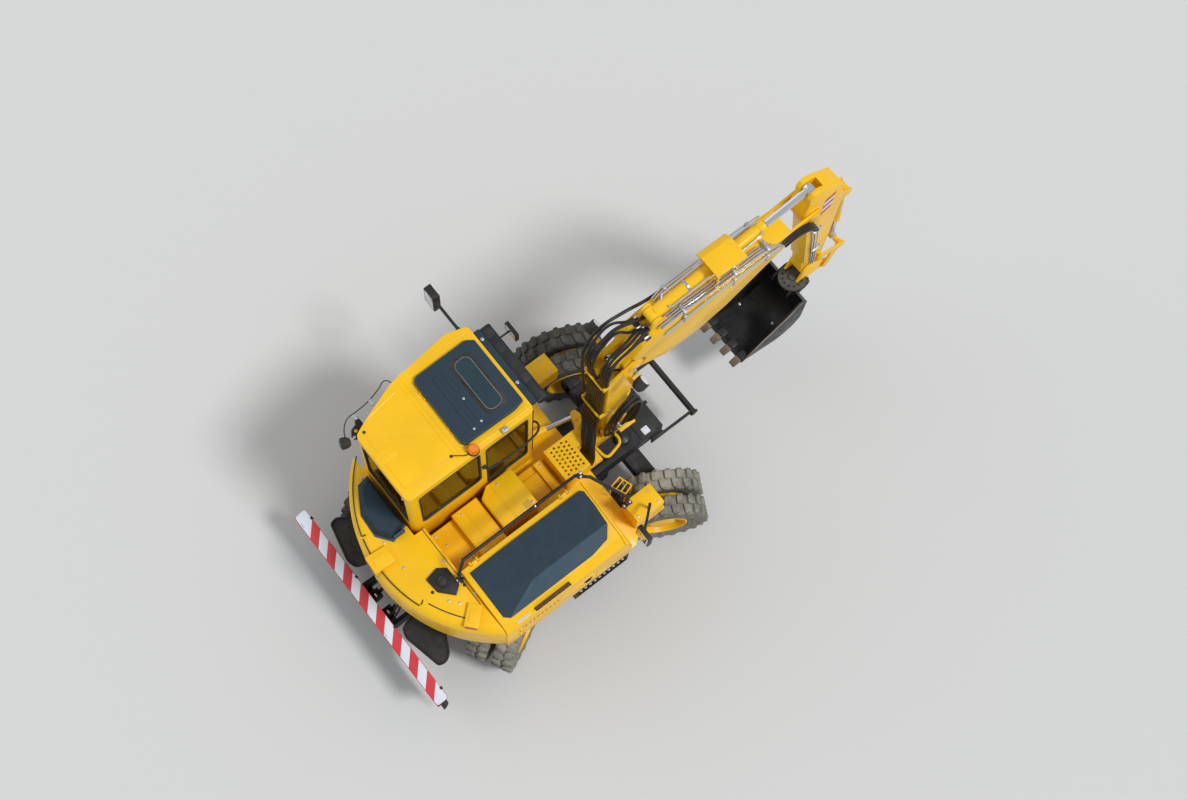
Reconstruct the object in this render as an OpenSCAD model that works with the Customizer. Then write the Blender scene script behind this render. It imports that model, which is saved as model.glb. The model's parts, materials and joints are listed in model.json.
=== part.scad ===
// Wheeled excavator with twin tyres, four-wheel steering, a rear blade,
// a swing post and a two-piece boom. Millimetres: X forward, Y left, Z up.
// Places are counted from the slew axis on the ground, and from_slew() then
// moves them so that the origin lies under the middle of the whole machine.

/* [Undercarriage] */
// Distance between the axles
wheelbase = 2230; // [2150:10:2300]
// Slew axis to the front axle
front_axle_x = 1495; // [1460:5:1540]
// Centre line to each steering pin
kingpin_y = 745; // [740:5:765]
// Half width of the central frame
frame_half_w = 350; // [330:5:360]
// Underside of the frame over the axles
frame_z = 655; // [650:5:665]
// Top of the frame
frame_top_z = 900; // [880:5:920]
// Length of the front bar ahead of the frame
front_bar_reach = 430; // [350:10:480]
// How far the front bar reaches past the frame's sides
front_bar_side = 35; // [30:5:50]

/* [Wheels] */
// Outer radius of a tyre over its lugs
tyre_r = 490; // [485:5:500]
// Width of one tyre
tyre_w = 225; // [210:5:235]
// Middle of one tyre to the middle of its twin
twin_pitch = 285; // [280:5:300]
// Steering pin to the middle of the twin
twin_offset = 212; // [205:1:220]
// Radius of the rim seat
rim_r = 262; // [255:1:270]
// Turn of the front left wheels as parked
front_left_turn = -20; // [-24:1:20]
// Turn of the front right wheels as parked
front_right_turn = -28; // [-30:1:20]
// Turn of the rear left wheels as parked
rear_left_turn = 20; // [-20:1:24]
// Turn of the rear right wheels as parked
rear_right_turn = 28; // [-20:1:30]

/* [Blade] */
// Width of the blade
blade_w = 2480; // [2400:10:2500]
// Height of the blade's plate
blade_h = 500; // [460:10:540]
// Lower edge of the raised blade
blade_z = 270; // [250:10:290]
// Slew axis to the raised blade's top edge
blade_back = 1690; // [1680:5:1710]

/* [Upper structure] */
// Tail swing radius
tail_r = 1500; // [1490:5:1520]
// Half width of the body
body_half_w = 1240; // [1230:5:1250]
// Underside of the deck
deck_z = 1060; // [1055:5:1070]
// Thickness of the deck
deck_t = 70; // [60:5:75]
// Slew axis back to the step between counterweight and decks
tail_step = 860; // [850:5:870]
// Top of the counterweight
tail_top_z = 1760; // [1720:10:1800]
// Centre line to the inner side of the engine housing
housing_in = 500; // [490:5:510]
// Top of the engine housing at its inner edge
housing_top_z = 1900; // [1880:10:1940]
// Slew axis to the front of the engine housing
housing_front_x = 640; // [620:10:660]

/* [Cab] */
// Right side of the cab
cab_right_y = 118; // [110:2:130]
// Underside of the cab
cab_z = 1320; // [1315:5:1340]
// Top of the cab's roof
cab_top_z = 2890; // [2850:10:2920]
// Thickness of the cab's walls
cab_wall = 45; // [40:1:50]
// Slew axis to the cab's front
cab_front_x = 520; // [510:5:540]
// Slew axis back to the cab's rear
cab_back = 960; // [950:5:970]

/* [Boom] */
// Slew axis to the swing post's own upright axis
post_x = 1100; // [1095:5:1110]
// Half width of both boom pieces
boom_half_w = 150; // [148:1:155]
// Half width of the arm
arm_half_w = 105; // [100:1:108]
// Thickness of the forks' plates
fork_t = 25; // [22:1:28]
// Radius of the main pins
pin_r = 35; // [30:1:40]
// Width of the bucket
bucket_w = 600; // [560:10:640]
// Wall of the bucket
bucket_wall = 16; // [12:1:20]

/* [Hidden] */
$fn = 48;

// Clearances: pin in bore, moving past, and resting on
fit_gap = 0.1;
run_gap = 6;
seat_gap = 0.3;

// Place of the slew axis in the model's own frame
slew_at = [-1316, -270];

rear_axle_x = front_axle_x - wheelbase;
axle_z = tyre_r;
blade_x = -blade_back;
tail_step_x = -tail_step;
cab_rear_x = -cab_back;
housing_y = -housing_in;
deck_top = deck_z + deck_t;
hood_seat_z = 1640;
eye_side = boom_half_w - fork_t;

// Linkage points in the X-Z plane: [x, z]
foot = [1275, 1500];
joint = [1480, 3020];
tip = [3610, 3560];
arm_end = [3975, 1640];
lift_base = [1480, 1290];
lift_eye = [1640, 2250];
adjust_base = [1320, 1850];
adjust_eye = [1300, 3235];
arm_cyl_base = [1760, 3650];
arm_cyl_eye = [3600, 3950];
bucket_cyl_base = [4170, 3250];
rocker_pin = [4030, 2010];
rocker_end = [4330, 1890];
link_end = [4225, 1470];
blade_pivot = [-1010, 545];
blade_cyl_base = [-1040, 800];
blade_cyl_eye = [-1560, 520];
blade_cyl_y = 110;
// Swing cylinder points in the X-Y plane
swing_base = [170, 420];
swing_eye = [post_x + 30, 225];
swing_z = 1240;

YELLOW = [0.96, 0.74, 0.08];
DARK = [0.14, 0.15, 0.17];
STEEL = [0.72, 0.74, 0.76];
RUBBER = [0.12, 0.12, 0.12];
GLASS = [0.25, 0.28, 0.18, 0.5];
AMBER = [0.95, 0.5, 0.05];

// Points and rounding
function unit(v) = v / norm(v);
function turned(v, a) = [v[0] * cos(a) - v[1] * sin(a), v[0] * sin(a) + v[1] * cos(a)];
function fillet(p, q, s, r, n) =
  let (a = unit(p - q), b = unit(s - q), half = acos(max(-1, min(1, a * b))) / 2)
  let (first = q + a * r / tan(half), middle = q + unit(a + b) * r / sin(half))
  let (way = cross(q - p, s - q) > 0 ? 1 : -1)
  [for (i = [0:n]) middle + turned(first - middle, way * (180 - 2 * half) * i / n)];
function rounded(pts, r, n = 4) =
  [for (i = [0:len(pts) - 1])
    each fillet(pts[(i + len(pts) - 1) % len(pts)], pts[i], pts[(i + 1) % len(pts)], r, n)];
function arc(c, r, a0, a1, n) =
  [for (i = [0:n]) c + r * [cos(a0 + (a1 - a0) * i / n), sin(a0 + (a1 - a0) * i / n)]];

module from_slew() translate([slew_at[0], slew_at[1], 0]) children();
module yellow() color(YELLOW) from_slew() children();
module dark() color(DARK) from_slew() children();
module steel() color(STEEL) from_slew() children();
module both_sides() {
  children();
  mirror([0, 1, 0]) children();
}

module box(lo, hi) translate(lo) cube(hi - lo);
// A plate in the X-Z plane from y0 to y1, and one on each side
module side_plate(pts, y0, y1) translate([0, y1, 0]) rotate([90, 0, 0]) linear_extrude(y1 - y0) polygon(pts);
module side_plates(pts, y0, y1) both_sides() side_plate(pts, y0, y1);
// A shape along X from an outline in the Y-Z plane
module long_shape(pts, x0, x1) translate([x0, 0, 0]) rotate([90, 0, 90]) linear_extrude(x1 - x0) polygon(pts);
// A round bar along Y at [x, z]
module bar_y(p, r, y0, y1) translate([p[0], y1, p[1]]) rotate([90, 0, 0]) cylinder(r = r, h = y1 - y0);
module pin_y(p, r, half) bar_y(p, r, -half, half);
// A round bar between two points in space, and a bent one with a bead at each bend
module bar(p, q, r) {
  d = q - p;
  translate(p) rotate([0, acos(d[2] / norm(d)), atan2(d[1], d[0])]) cylinder(r = r, h = norm(d));
}
module bent_bar(pts, r) {
  for (i = [0:len(pts) - 2]) bar(pts[i], pts[i + 1], r);
  for (i = [1:len(pts) - 2]) translate(pts[i]) sphere(r = r + 2);
}

// Hydraulic cylinders in the X-Z plane, from an eye at p towards one at q
module along(p, q) translate([p[0], 0, p[1]]) rotate([0, 90 - atan2(q[1] - p[1], q[0] - p[0]), 0]) children();
module cross_bar(r, half) translate([0, half, 0]) rotate([90, 0, 0]) cylinder(r = r, h = 2 * half);
module barrel(p, q, len, r, rod_r, eye_r, pin, half) along(p, q) difference() {
  union() {
    translate([0, 0, eye_r * 0.6]) cylinder(r = r, h = len - eye_r * 0.6);
    cross_bar(eye_r, half);
  }
  translate([0, 0, eye_r + 15]) cylinder(r = rod_r + 0.5, h = len);
  cross_bar(pin + fit_gap, half + 1);
}
module rod(p, q, reach, rod_r, eye_r, half) along(q, p) {
  translate([0, 0, eye_r * 0.5]) cylinder(r = rod_r, h = reach - eye_r * 0.5);
  cross_bar(eye_r, half);
}

// Undercarriage
pivot_pin_r = 30;
blade_lugs = [200, 225, 285, 310];
tow_eye = [front_axle_x + 430, 700];
tow_eye_r = 18;
tow_half = 15;
module chassis_frame() dark() {
  difference() {
    union() {
      box([rear_axle_x - 380, -frame_half_w, frame_z], [front_axle_x + 390, frame_half_w, frame_top_z]);
      box([rear_axle_x + 330, -frame_half_w, 430], [front_axle_x - 330, frame_half_w, frame_z]);
      translate([0, 0, frame_top_z]) cylinder(r = 520, h = deck_z - 10 - frame_top_z);
    }
    both_sides() box([rear_axle_x - 400, blade_cyl_y - 50, frame_z - 1],
      [blade_cyl_base[0] + 90, blade_cyl_y + 50, frame_top_z - 15]);
  }
  difference() {
    side_plate(concat([[tow_eye[0] - 41, tow_eye[1] - 40]], arc(tow_eye, 40, -90, 90, 8), [[tow_eye[0] - 41, tow_eye[1] + 40]]),
      -tow_half, tow_half);
    pin_y(tow_eye, tow_eye_r, tow_half + 1);
  }
  both_sides() {
    bar_y(blade_cyl_base, 20, blade_cyl_y - 50, blade_cyl_y + 50);
    for (y = [0, 2]) box([blade_pivot[0] - 70, blade_lugs[y], blade_pivot[1] - 70],
      [blade_pivot[0] + 70, blade_lugs[y + 1], frame_z]);
    bar_y(blade_pivot, pivot_pin_r, blade_lugs[0], blade_lugs[3]);
  }
}

kingpin_r = 25;
knuckle_half = 112;
yoke_in = knuckle_half + run_gap;
yoke_out = 145;
module axle() {
  bar_end = kingpin_y - 125;
  difference() {
    union() {
      box([-95, -bar_end, axle_z - 90], [95, bar_end, axle_z + 90]);
      translate([-170, 0, axle_z]) rotate([0, 90, 0]) cylinder(r = 185, h = 340);
      both_sides() {
        box([-120, 150, axle_z + 89], [120, 230, frame_z]);
        box([-80, bar_end - 1, axle_z - yoke_out], [80, kingpin_y, axle_z + yoke_out]);
        translate([0, kingpin_y, axle_z - yoke_out]) cylinder(r = 80, h = 2 * yoke_out);
      }
    }
    both_sides() box([-90, kingpin_y - 100, axle_z - yoke_in], [90, kingpin_y + 90, axle_z + yoke_in]);
    box([-200, -149, frame_z], [200, 149, frame_z + 100]);
  }
  both_sides() translate([0, kingpin_y, axle_z - yoke_in - 1]) cylinder(r = kingpin_r, h = 2 * yoke_in + 2);
}
module front_axle() dark() translate([front_axle_x, 0, 0]) axle();
module rear_axle() dark() translate([rear_axle_x, 0, 0]) axle();
front_bar_half_w = frame_half_w + front_bar_side;

module front_bar() dark() {
  x0 = front_axle_x + 390;
  x1 = x0 + front_bar_reach;
  bar_y([x1, 600], 34, -front_bar_half_w, front_bar_half_w);
  both_sides() difference() {
    box([x0 - 140, frame_half_w, 565], [x1, frame_half_w + 22, 720]);
    box([x0 + 10, frame_half_w - 1, 635], [x1 + 1, frame_half_w + 40, 721]);
  }
}

// Tool boxes with steps between the axles: a step's plates and its rails
step_x = [60, 760];
step_y = [1000, 1190];
module side_boxes() dark() both_sides() {
  box([-20, frame_half_w, 480], [780, step_y[0], 880]);
  difference() {
    union() {
      box([step_x[0], step_y[0], 470], [step_x[1], step_y[1], 500]);
      box([step_x[0], step_y[0], 730], [step_x[1], step_y[1], 755]);
    }
    for (x = [step_x[0] + 40:62:step_x[1] - 30]) for (y = [step_y[0] + 40:56:step_y[1] - 20])
      translate([x, y, 460]) cylinder(r = 20, h = 320);
  }
  for (x = [step_x[0], step_x[1] - 30]) box([x, step_y[0], 500], [x + 30, step_y[1], 730]);
}

guard_plan = [[-1135, 200], [-1135, 480], [-1350, 900], [-1420, 945], [-1500, 930], [-1595, 500], [-1560, 400], [-1360, 330]];
module rear_guards() dark() both_sides() {
  translate([0, 0, 838]) linear_extrude(14) polygon(rounded(guard_plan, 22));
  box([-1135, 210, 770], [rear_axle_x - 380, 335, 852]);
}

// Rear blade, drawn raised
function blade_face(x, z) = concat(
  arc([x - 620, z + blade_h / 2], 640, -23, 23, 12),
  arc([x - 620, z + blade_h / 2], 624, 23, -23, 12));
module blade() {
  xb = blade_x + 40;
  dark() {
    side_plate(blade_face(xb, blade_z), -blade_w / 2, blade_w / 2);
    // Lip that carries the striped band
    side_plate([[blade_x - 60, blade_z + blade_h - 60], [blade_x - 55, blade_z + blade_h - 72],
      [blade_x + 52, blade_z + blade_h - 12], [blade_x + 50, blade_z + blade_h + 2]], -blade_w / 2, blade_w / 2);
    both_sides() {
      difference() {
        side_plate([[blade_pivot[0] + 50, blade_pivot[1] - 50], [blade_pivot[0] + 50, blade_pivot[1] + 50],
          [-1300, 570], [xb + 12, 620], [xb + 12, 400], [-1300, 440]], blade_lugs[1] + 6, blade_lugs[2] - 6);
        bar_y(blade_pivot, pivot_pin_r + fit_gap, blade_lugs[1], blade_lugs[2]);
      }
      for (y = [blade_cyl_y - 50, blade_cyl_y + 32]) box([xb + 12, y, 470], [xb + 150, y + 18, 590]);
      box([xb + 12, blade_cyl_y - 50, 440], [xb + 120, blade_lugs[1] + 6, 471]);
    }
  }
}
module blade_barrels() yellow() both_sides() translate([0, blade_cyl_y, 0])
  barrel(blade_cyl_base, blade_cyl_eye, 400, 40, 24, 40, 20, 42);
module blade_rods() steel() both_sides() translate([0, blade_cyl_y, 0])
  rod(blade_cyl_base, blade_cyl_eye, 400, 24, 36, 26);

// Wheels. side is 1 on the left and -1 on the right
module at_corner(axle_x, side, turn) from_slew() translate([axle_x, side * kingpin_y, axle_z])
  rotate([0, 0, turn]) mirror([0, side < 0 ? 1 : 0, 0]) children();
module along_y(y0, y1, r) bar_y([0, 0], r, y0, y1);
spindle_r = 60;
web_in = twin_offset - 62;
web_out = twin_offset + 30;
rim_half = twin_pitch / 2 + tyre_w / 2 - 12;
module knuckle() difference() {
  union() {
    translate([0, 0, -knuckle_half]) cylinder(r = 72, h = 2 * knuckle_half);
    along_y(0, web_out + 60, spindle_r);
    along_y(92, 130, 150);
  }
  translate([0, 0, -knuckle_half - 1]) cylinder(r = kingpin_r + fit_gap, h = 2 * knuckle_half + 2);
}
module rims() difference() {
  along_y(twin_offset - rim_half, twin_offset + rim_half, rim_r);
  along_y(twin_offset - rim_half - 1, web_in, rim_r - 20);
  difference() {
    along_y(web_out, twin_offset + rim_half + 1, rim_r - 20);
    along_y(web_out - 1, twin_offset + rim_half - 30, 135);
  }
  along_y(web_in - 1, web_out + 70, spindle_r + fit_gap);
}
// A tyre of flat faces: [radius, half width] of its tread and of its walls
tyre_faces = 40;
function tyre_ring(r) = [for (i = [0:tyre_faces - 1]) let (a = i * 360 / tyre_faces - 90) r * [cos(a), sin(a)]];
tyre_slabs = [[tyre_r, tyre_w / 2 - 13], [tyre_r - 50, tyre_w / 2]];
module tyre() rotate([90, 0, 0]) difference() {
  for (t = tyre_slabs) translate([0, 0, -t[1]]) linear_extrude(2 * t[1]) polygon(tyre_ring(t[0]));
  translate([0, 0, -tyre_w]) linear_extrude(2 * tyre_w)
    polygon(tyre_ring((rim_r + seat_gap) / cos(180 / tyre_faces)));
}
module tyres() for (s = [-1, 1]) translate([0, twin_offset + s * twin_pitch / 2, 0]) tyre();

module knuckle_front_left() color(DARK) at_corner(front_axle_x, 1, front_left_turn) knuckle();
module knuckle_front_right() color(DARK) at_corner(front_axle_x, -1, front_right_turn) knuckle();
module knuckle_rear_left() color(DARK) at_corner(rear_axle_x, 1, rear_left_turn) knuckle();
module knuckle_rear_right() color(DARK) at_corner(rear_axle_x, -1, rear_right_turn) knuckle();
module rims_front_left() color(YELLOW) at_corner(front_axle_x, 1, front_left_turn) rims();
module rims_front_right() color(YELLOW) at_corner(front_axle_x, -1, front_right_turn) rims();
module rims_rear_left() color(YELLOW) at_corner(rear_axle_x, 1, rear_left_turn) rims();
module rims_rear_right() color(YELLOW) at_corner(rear_axle_x, -1, rear_right_turn) rims();
module tyres_front_left() color(RUBBER) at_corner(front_axle_x, 1, front_left_turn) tyres();
module tyres_front_right() color(RUBBER) at_corner(front_axle_x, -1, front_right_turn) tyres();
module tyres_rear_left() color(RUBBER) at_corner(rear_axle_x, 1, rear_left_turn) tyres();
module tyres_rear_right() color(RUBBER) at_corner(rear_axle_x, -1, rear_right_turn) tyres();

// Cab's plan and the same plan grown or shrunk
cab_corners = [[cab_rear_x, cab_right_y], [cab_front_x, cab_right_y], [cab_front_x, 1170], [300, 1235],
  [-400, 1150], [-780, 1010], [cab_rear_x, 930]];
function grown(pts, d) = [for (p = pts) [p[0] + (p[0] > -200 ? d : -d), p[1] + (p[1] > 650 ? d : -d)]];
module cab_block(d, z0, z1) translate([0, 0, z0]) linear_extrude(z1 - z0) polygon(grown(rounded(cab_corners, 60), d));

// Upper structure
lug_r = 120;
lug_top = [1380, 1430];
platform_x = [600, 900];
post_pin_r = 40;
lamp_x = [900, 1290];
lamp_left_y = [700, 940];
lamp_right_y = [-1090, -850];
module upper_frame() yellow() difference() {
  union() {
    intersection() {
      translate([0, 0, deck_z]) cylinder(r = tail_r - 40, h = deck_t, $fn = 120);
      box([-tail_r, -body_half_w + 20, deck_z], [920, body_half_w - 20, deck_top]);
    }
    translate([0, 0, deck_z - 10 + seat_gap]) cylinder(r = 480, h = 10);
    // Skirt under the cab
    difference() {
      cab_block(-25, deck_top - 1, cab_z);
      box([60, 100, deck_top], [cab_front_x + 50, 600, cab_z + 1]);
    }
    // Carriers of the front lamp boxes
    box([600, lamp_left_y[0], deck_z], [lamp_x[1] - 10, lamp_left_y[1], deck_top]);
    box([600, lamp_right_y[0], deck_z], [lamp_x[1] - 10, lamp_right_y[1], deck_top]);
    // Bracket of the swing post
    box([760, -300, deck_z], [post_x, 120, deck_top]);
    translate([post_x, 0, deck_z]) cylinder(r = lug_r, h = deck_t);
    box([platform_x[0], -330, deck_top - 1], [platform_x[1], 70, lug_top[1]]);
    box([platform_x[1] - 10, -105, lug_top[0]], [post_x, 70, lug_top[1]]);
    translate([post_x, 0, lug_top[0]]) cylinder(r = lug_r, h = lug_top[1] - lug_top[0]);
    // Pin of the swing cylinder
    box([swing_base[0] - 70, swing_base[1] - 60, deck_top - 1], [swing_base[0] + 60, swing_base[1] + 60, swing_z - 52]);
    translate([swing_base[0], swing_base[1], deck_top]) cylinder(r = 24, h = swing_z + 50 - deck_top);
  }
  translate([post_x, 0, deck_z - 1]) cylinder(r = post_pin_r + fit_gap, h = lug_top[1] - deck_z + 2);
  // Platform's hollow and the holes in its plate
  box([platform_x[0] + 25, -305, deck_top + 40], [platform_x[1] - 25, 45, lug_top[1] - 12]);
  for (i = [0:4]) for (y = [-275:48:30])
    translate([platform_x[0] + 60 + 48 * i, y + (i % 2) * 20, lug_top[1] - 20]) cylinder(r = 12, h = 30, $fn = 24);
}

// Rear lamps: angle, inner and outer radius, half width
tail_lamps = [[176, 1275, 1512, 95], [221.6, 1235, 1470, 72]];
module tail_lamp(t, gap) rotate([0, 0, t[0]]) box([t[1] - gap, -t[3] - gap, 1600 - gap], [t[2] + gap, t[3] + gap, 1805]);
module counterweight() yellow() difference() {
  intersection() {
    rotate_extrude($fn = 240) polygon(concat([[0, deck_top], [tail_r - 60, deck_top], [tail_r, deck_top + 90]],
      arc([tail_r - 110, tail_top_z - 110], 110, 0, 90, 6), [[0, tail_top_z]]));
    box([-tail_r - 1, -body_half_w + 8, deck_top], [tail_step_x, body_half_w - 8, tail_top_z + 1]);
  }
  box([cab_rear_x - 25, cab_right_y - 20, deck_top - 1], [tail_step_x + 1, body_half_w, tail_top_z + 1]);
  for (t = tail_lamps) tail_lamp(t, seat_gap);
}
module engine() dark() box([-520, -1080, deck_top], [420, -620, hood_seat_z]);

side_door_x = [-700, 260];
side_door_hinge = [side_door_x[0] + 3, -body_half_w - 3];
side_door_z = [1170, 1560];
side_door_hinges = [1250, 1480];
housing_nose = 80;
module housing_body() difference() {
  side_plate([[tail_step_x, deck_top], [housing_front_x + housing_nose, deck_top],
    [housing_front_x + housing_nose, 1380], [housing_front_x, housing_top_z - 150],
    [housing_front_x - 20, housing_top_z], [tail_step_x, housing_top_z]], -body_half_w, housing_y);
  box([tail_step_x + 30, -body_half_w + 30, deck_top - 1], [housing_front_x - 60, housing_y - 30, 1990]);
  box([side_door_x[0], -body_half_w - 1, side_door_z[0]], [side_door_x[1], -body_half_w + 31, side_door_z[1]]);
  box([tail_step_x - 1, -body_half_w - 1, hood_seat_z], [housing_front_x - 30, housing_y + 1, 2000]);
  for (z = side_door_hinges) translate([side_door_hinge[0], side_door_hinge[1], z]) hinge_room(18, 32);
  // Slope at the outer top edge of the nose
  long_shape([[-1150, 1790], [-body_half_w - 1, 1690], [-body_half_w - 1, 2000], [housing_y + 1, 2000],
    [housing_y + 1, housing_top_z]], housing_front_x - 100, housing_front_x + 100);
}
hood_x = [tail_step_x + run_gap, housing_front_x - 30 - run_gap];
hood_hinges = [-700, 400];
module housing() yellow() {
  housing_body();
  for (z = side_door_hinges) translate([side_door_hinge[0], side_door_hinge[1], z]) hinge_ends(12, 6, 26, 22);
  // Posts that carry the hood's hinges
  for (x = hood_hinges) {
    translate([x, housing_y, housing_top_z]) rotate([0, 90, 0]) hinge_ends(14, 7, 30, 22);
    for (side = [-1, 1]) translate([x + side * 42, 0, 0]) {
      box([-9, housing_y - 20, 1500], [9, housing_y + 25, 1620]);
      box([-9, housing_y + 7, 1500], [9, housing_y + 25, housing_top_z + 4]);
      box([-9, housing_y, housing_top_z - 8], [9, housing_y + 25, housing_top_z + 10]);
    }
  }
}
module hood_shell() difference() {
  long_shape([[housing_y, hood_seat_z + seat_gap], [housing_y, housing_top_z], [-1150, 1790],
    [-body_half_w, 1690], [-body_half_w, hood_seat_z + seat_gap]], hood_x[0], hood_x[1]);
  long_shape([[housing_y - 25, hood_seat_z - 1], [housing_y - 25, housing_top_z - 29], [-1145, 1765],
    [-body_half_w + 25, 1680], [-body_half_w + 25, hood_seat_z - 1]], hood_x[0] + 25, hood_x[1] - 25);
}
module hood() yellow() {
  difference() {
    hood_shell();
    for (x = hood_hinges) for (side = [-1, 1]) translate([x + side * 42, housing_y, housing_top_z])
      rotate([0, 90, 0]) hinge_room(20, 14);
    for (x = hood_hinges) translate([x, housing_y, housing_top_z]) rotate([0, 90, 0]) hinge_room(7 + fit_gap, 60);
  }
  for (x = hood_hinges) translate([x, housing_y, housing_top_z]) rotate([0, 90, 0]) hinge_knuckle(14, 7, 28);
}
hood_fall = (housing_top_z - 1790) / (1150 - housing_in);
function on_hood(y) = housing_top_z - hood_fall * (housing_y - y) + seat_gap;
module hood_cover() dark()
  long_shape([[-560, on_hood(-560)], [-560, on_hood(-560) + 30], [-820, on_hood(-820) + 34],
    [-1140, on_hood(-1140) + 16], [-1140, on_hood(-1140)]], -790, 540);
module side_door() yellow() {
  side_door_panel();
  for (z = side_door_hinges) translate([side_door_hinge[0], side_door_hinge[1], z]) hinge_knuckle(12, 6, 26);
}
module side_door_panel() difference() {
  box([side_door_x[0] + run_gap, -body_half_w, side_door_z[0] + run_gap],
    [side_door_x[1] - run_gap, -body_half_w + 28, side_door_z[1] - run_gap]);
  for (x = [side_door_x[0] + 60:50:side_door_x[1] - 480])
    box([x, -body_half_w - 1, side_door_z[1] - 160], [x + 22, -body_half_w + 40, side_door_z[1] - 50]);
  for (z = side_door_hinges) translate([side_door_hinge[0], side_door_hinge[1], z]) {
    for (end = [-37, 37]) translate([0, 0, end]) hinge_room(16, 14);
    hinge_room(6 + fit_gap, 60);
  }
}

// A hinge along Z at a place: its middle knuckle is on the door, its pin and end knuckles on the frame
module hinge_knuckle(r, pin, half) difference() {
  translate([0, 0, -half]) cylinder(r = r, h = 2 * half);
  translate([0, 0, -half - 1]) cylinder(r = pin + fit_gap, h = 2 * half + 2);
}
module hinge_ends(r, pin, half, end) {
  translate([0, 0, -half - end]) cylinder(r = pin, h = 2 * (half + end));
  for (z = [-half - end, half + 2]) translate([0, 0, z]) cylinder(r = r, h = end - 2);
}
module hinge_room(r, half) translate([0, 0, -half]) cylinder(r = r, h = 2 * half);

// Cab. Windows are cut as boxes: name, low corner, high corner
front_window = [[cab_front_x - cab_wall - 20, 200, 1500], [cab_front_x + 30, 1080, 2770]];
right_windows = [[[-60, 100, 1620], [430, 180, 2760]], [[-840, 100, 1900], [-140, 180, 2760]]];
rear_window = [[cab_rear_x - 10, 200, 1900], [cab_rear_x + cab_wall + 20, 860, 2760]];
doorway_x = [-330, 430];
doorway_z = [cab_z + 50, cab_top_z - 60];
door_hinge = [-327, 1166];
door_hinges = [1500, 2000, 2680];
hatch_lo = [-200, 250];
hatch_hi = [452, 1050];
hatch_hinge = [-240, cab_top_z + 12];
hatch_hinges = [420, 860];
module cab_shell() yellow() {
  cab_body();
  for (z = door_hinges) translate([door_hinge[0], door_hinge[1], z]) hinge_ends(13, 7, 30, 22);
  for (y = hatch_hinges) translate([hatch_hinge[0], y, hatch_hinge[1]]) rotate([90, 0, 0]) hinge_ends(10, 5, 25, 22);
  for (y = hatch_hinges) for (side = [-1, 1])
    box([hatch_hinge[0] - 10, y + side * 37 - 9, cab_top_z - 1], [hatch_hinge[0] + 8, y + side * 37 + 9, hatch_hinge[1]]);
}
module cab_body() difference() {
  cab_block(0, cab_z, cab_top_z);
  cab_block(-cab_wall, doorway_z[0], doorway_z[1]);
  box(front_window[0], front_window[1]);
  for (w = right_windows) box(w[0], w[1]);
  box(rear_window[0], rear_window[1]);
  box([-820, 930, 1900], [-450, 1160, 2760]);
  box([doorway_x[0], 900, doorway_z[0]], [doorway_x[1], 1300, doorway_z[1]]);
  box([hatch_lo[0], hatch_lo[1], cab_top_z - 61], [hatch_hi[0], hatch_hi[1], cab_top_z + 1]);
  for (z = door_hinges) translate([door_hinge[0], door_hinge[1], z]) hinge_room(18, 31);
}
module pane(lo, hi) box(lo + [0, 1, 1] * seat_gap, hi - [0, 1, 1] * seat_gap);
module cab_glass() color(GLASS) from_slew() {
  pane([cab_front_x - 22, front_window[0][1], front_window[0][2]], [cab_front_x - 14, front_window[1][1], front_window[1][2]]);
  pane([cab_rear_x + 14, rear_window[0][1], rear_window[0][2]], [cab_rear_x + 22, rear_window[1][1], rear_window[1][2]]);
  for (w = right_windows)
    box([w[0][0] + seat_gap, cab_right_y + 14, w[0][2] + seat_gap], [w[1][0] - seat_gap, cab_right_y + 22, w[1][2] - seat_gap]);
}
module cab_door() yellow() {
  door_panel();
  for (z = door_hinges) translate([door_hinge[0], door_hinge[1], z]) hinge_knuckle(13, 7, 30);
}
module door_panel() difference() {
  intersection() {
    difference() {
      cab_block(0, doorway_z[0] + run_gap, doorway_z[1] - run_gap);
      cab_block(-cab_wall + 3, doorway_z[0], doorway_z[1]);
    }
    box([doorway_x[0] + run_gap, 960, cab_z], [doorway_x[1] - run_gap, 1300, cab_top_z]);
  }
  box([-260, 900, 1960], [360, 1300, 2750]);
  box([-200, 900, 1460], [360, 1300, 1880]);
  for (z = door_hinges) translate([door_hinge[0], door_hinge[1], z]) {
    for (end = [-42, 42]) translate([0, 0, end]) hinge_room(18, 14);
    hinge_room(7 + fit_gap, 60);
  }
}
module cab_visor() dark() {
  box([cab_front_x + seat_gap, 180, 2800], [cab_front_x + 75, 1100, 2870]);
  difference() {
    box([cab_front_x + 74, 180, 2785], [cab_front_x + 200, 1100, 2812]);
    for (y = [215:225:1000]) box([cab_front_x + 92, y, 2780], [cab_front_x + 182, y + 125, 2820]);
  }
}
module roof_hatch() dark() {
  hatch_panel();
  for (y = hatch_hinges) difference() {
    translate([hatch_hinge[0], y, hatch_hinge[1]]) {
      rotate([90, 0, 0]) translate([0, 0, -25]) cylinder(r = 10, h = 50);
      box([0, -25, -5], [30, 25, 5]);
    }
    translate([hatch_hinge[0], y, hatch_hinge[1]]) rotate([90, 0, 0]) hinge_room(5 + fit_gap, 40);
  }
}
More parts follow.
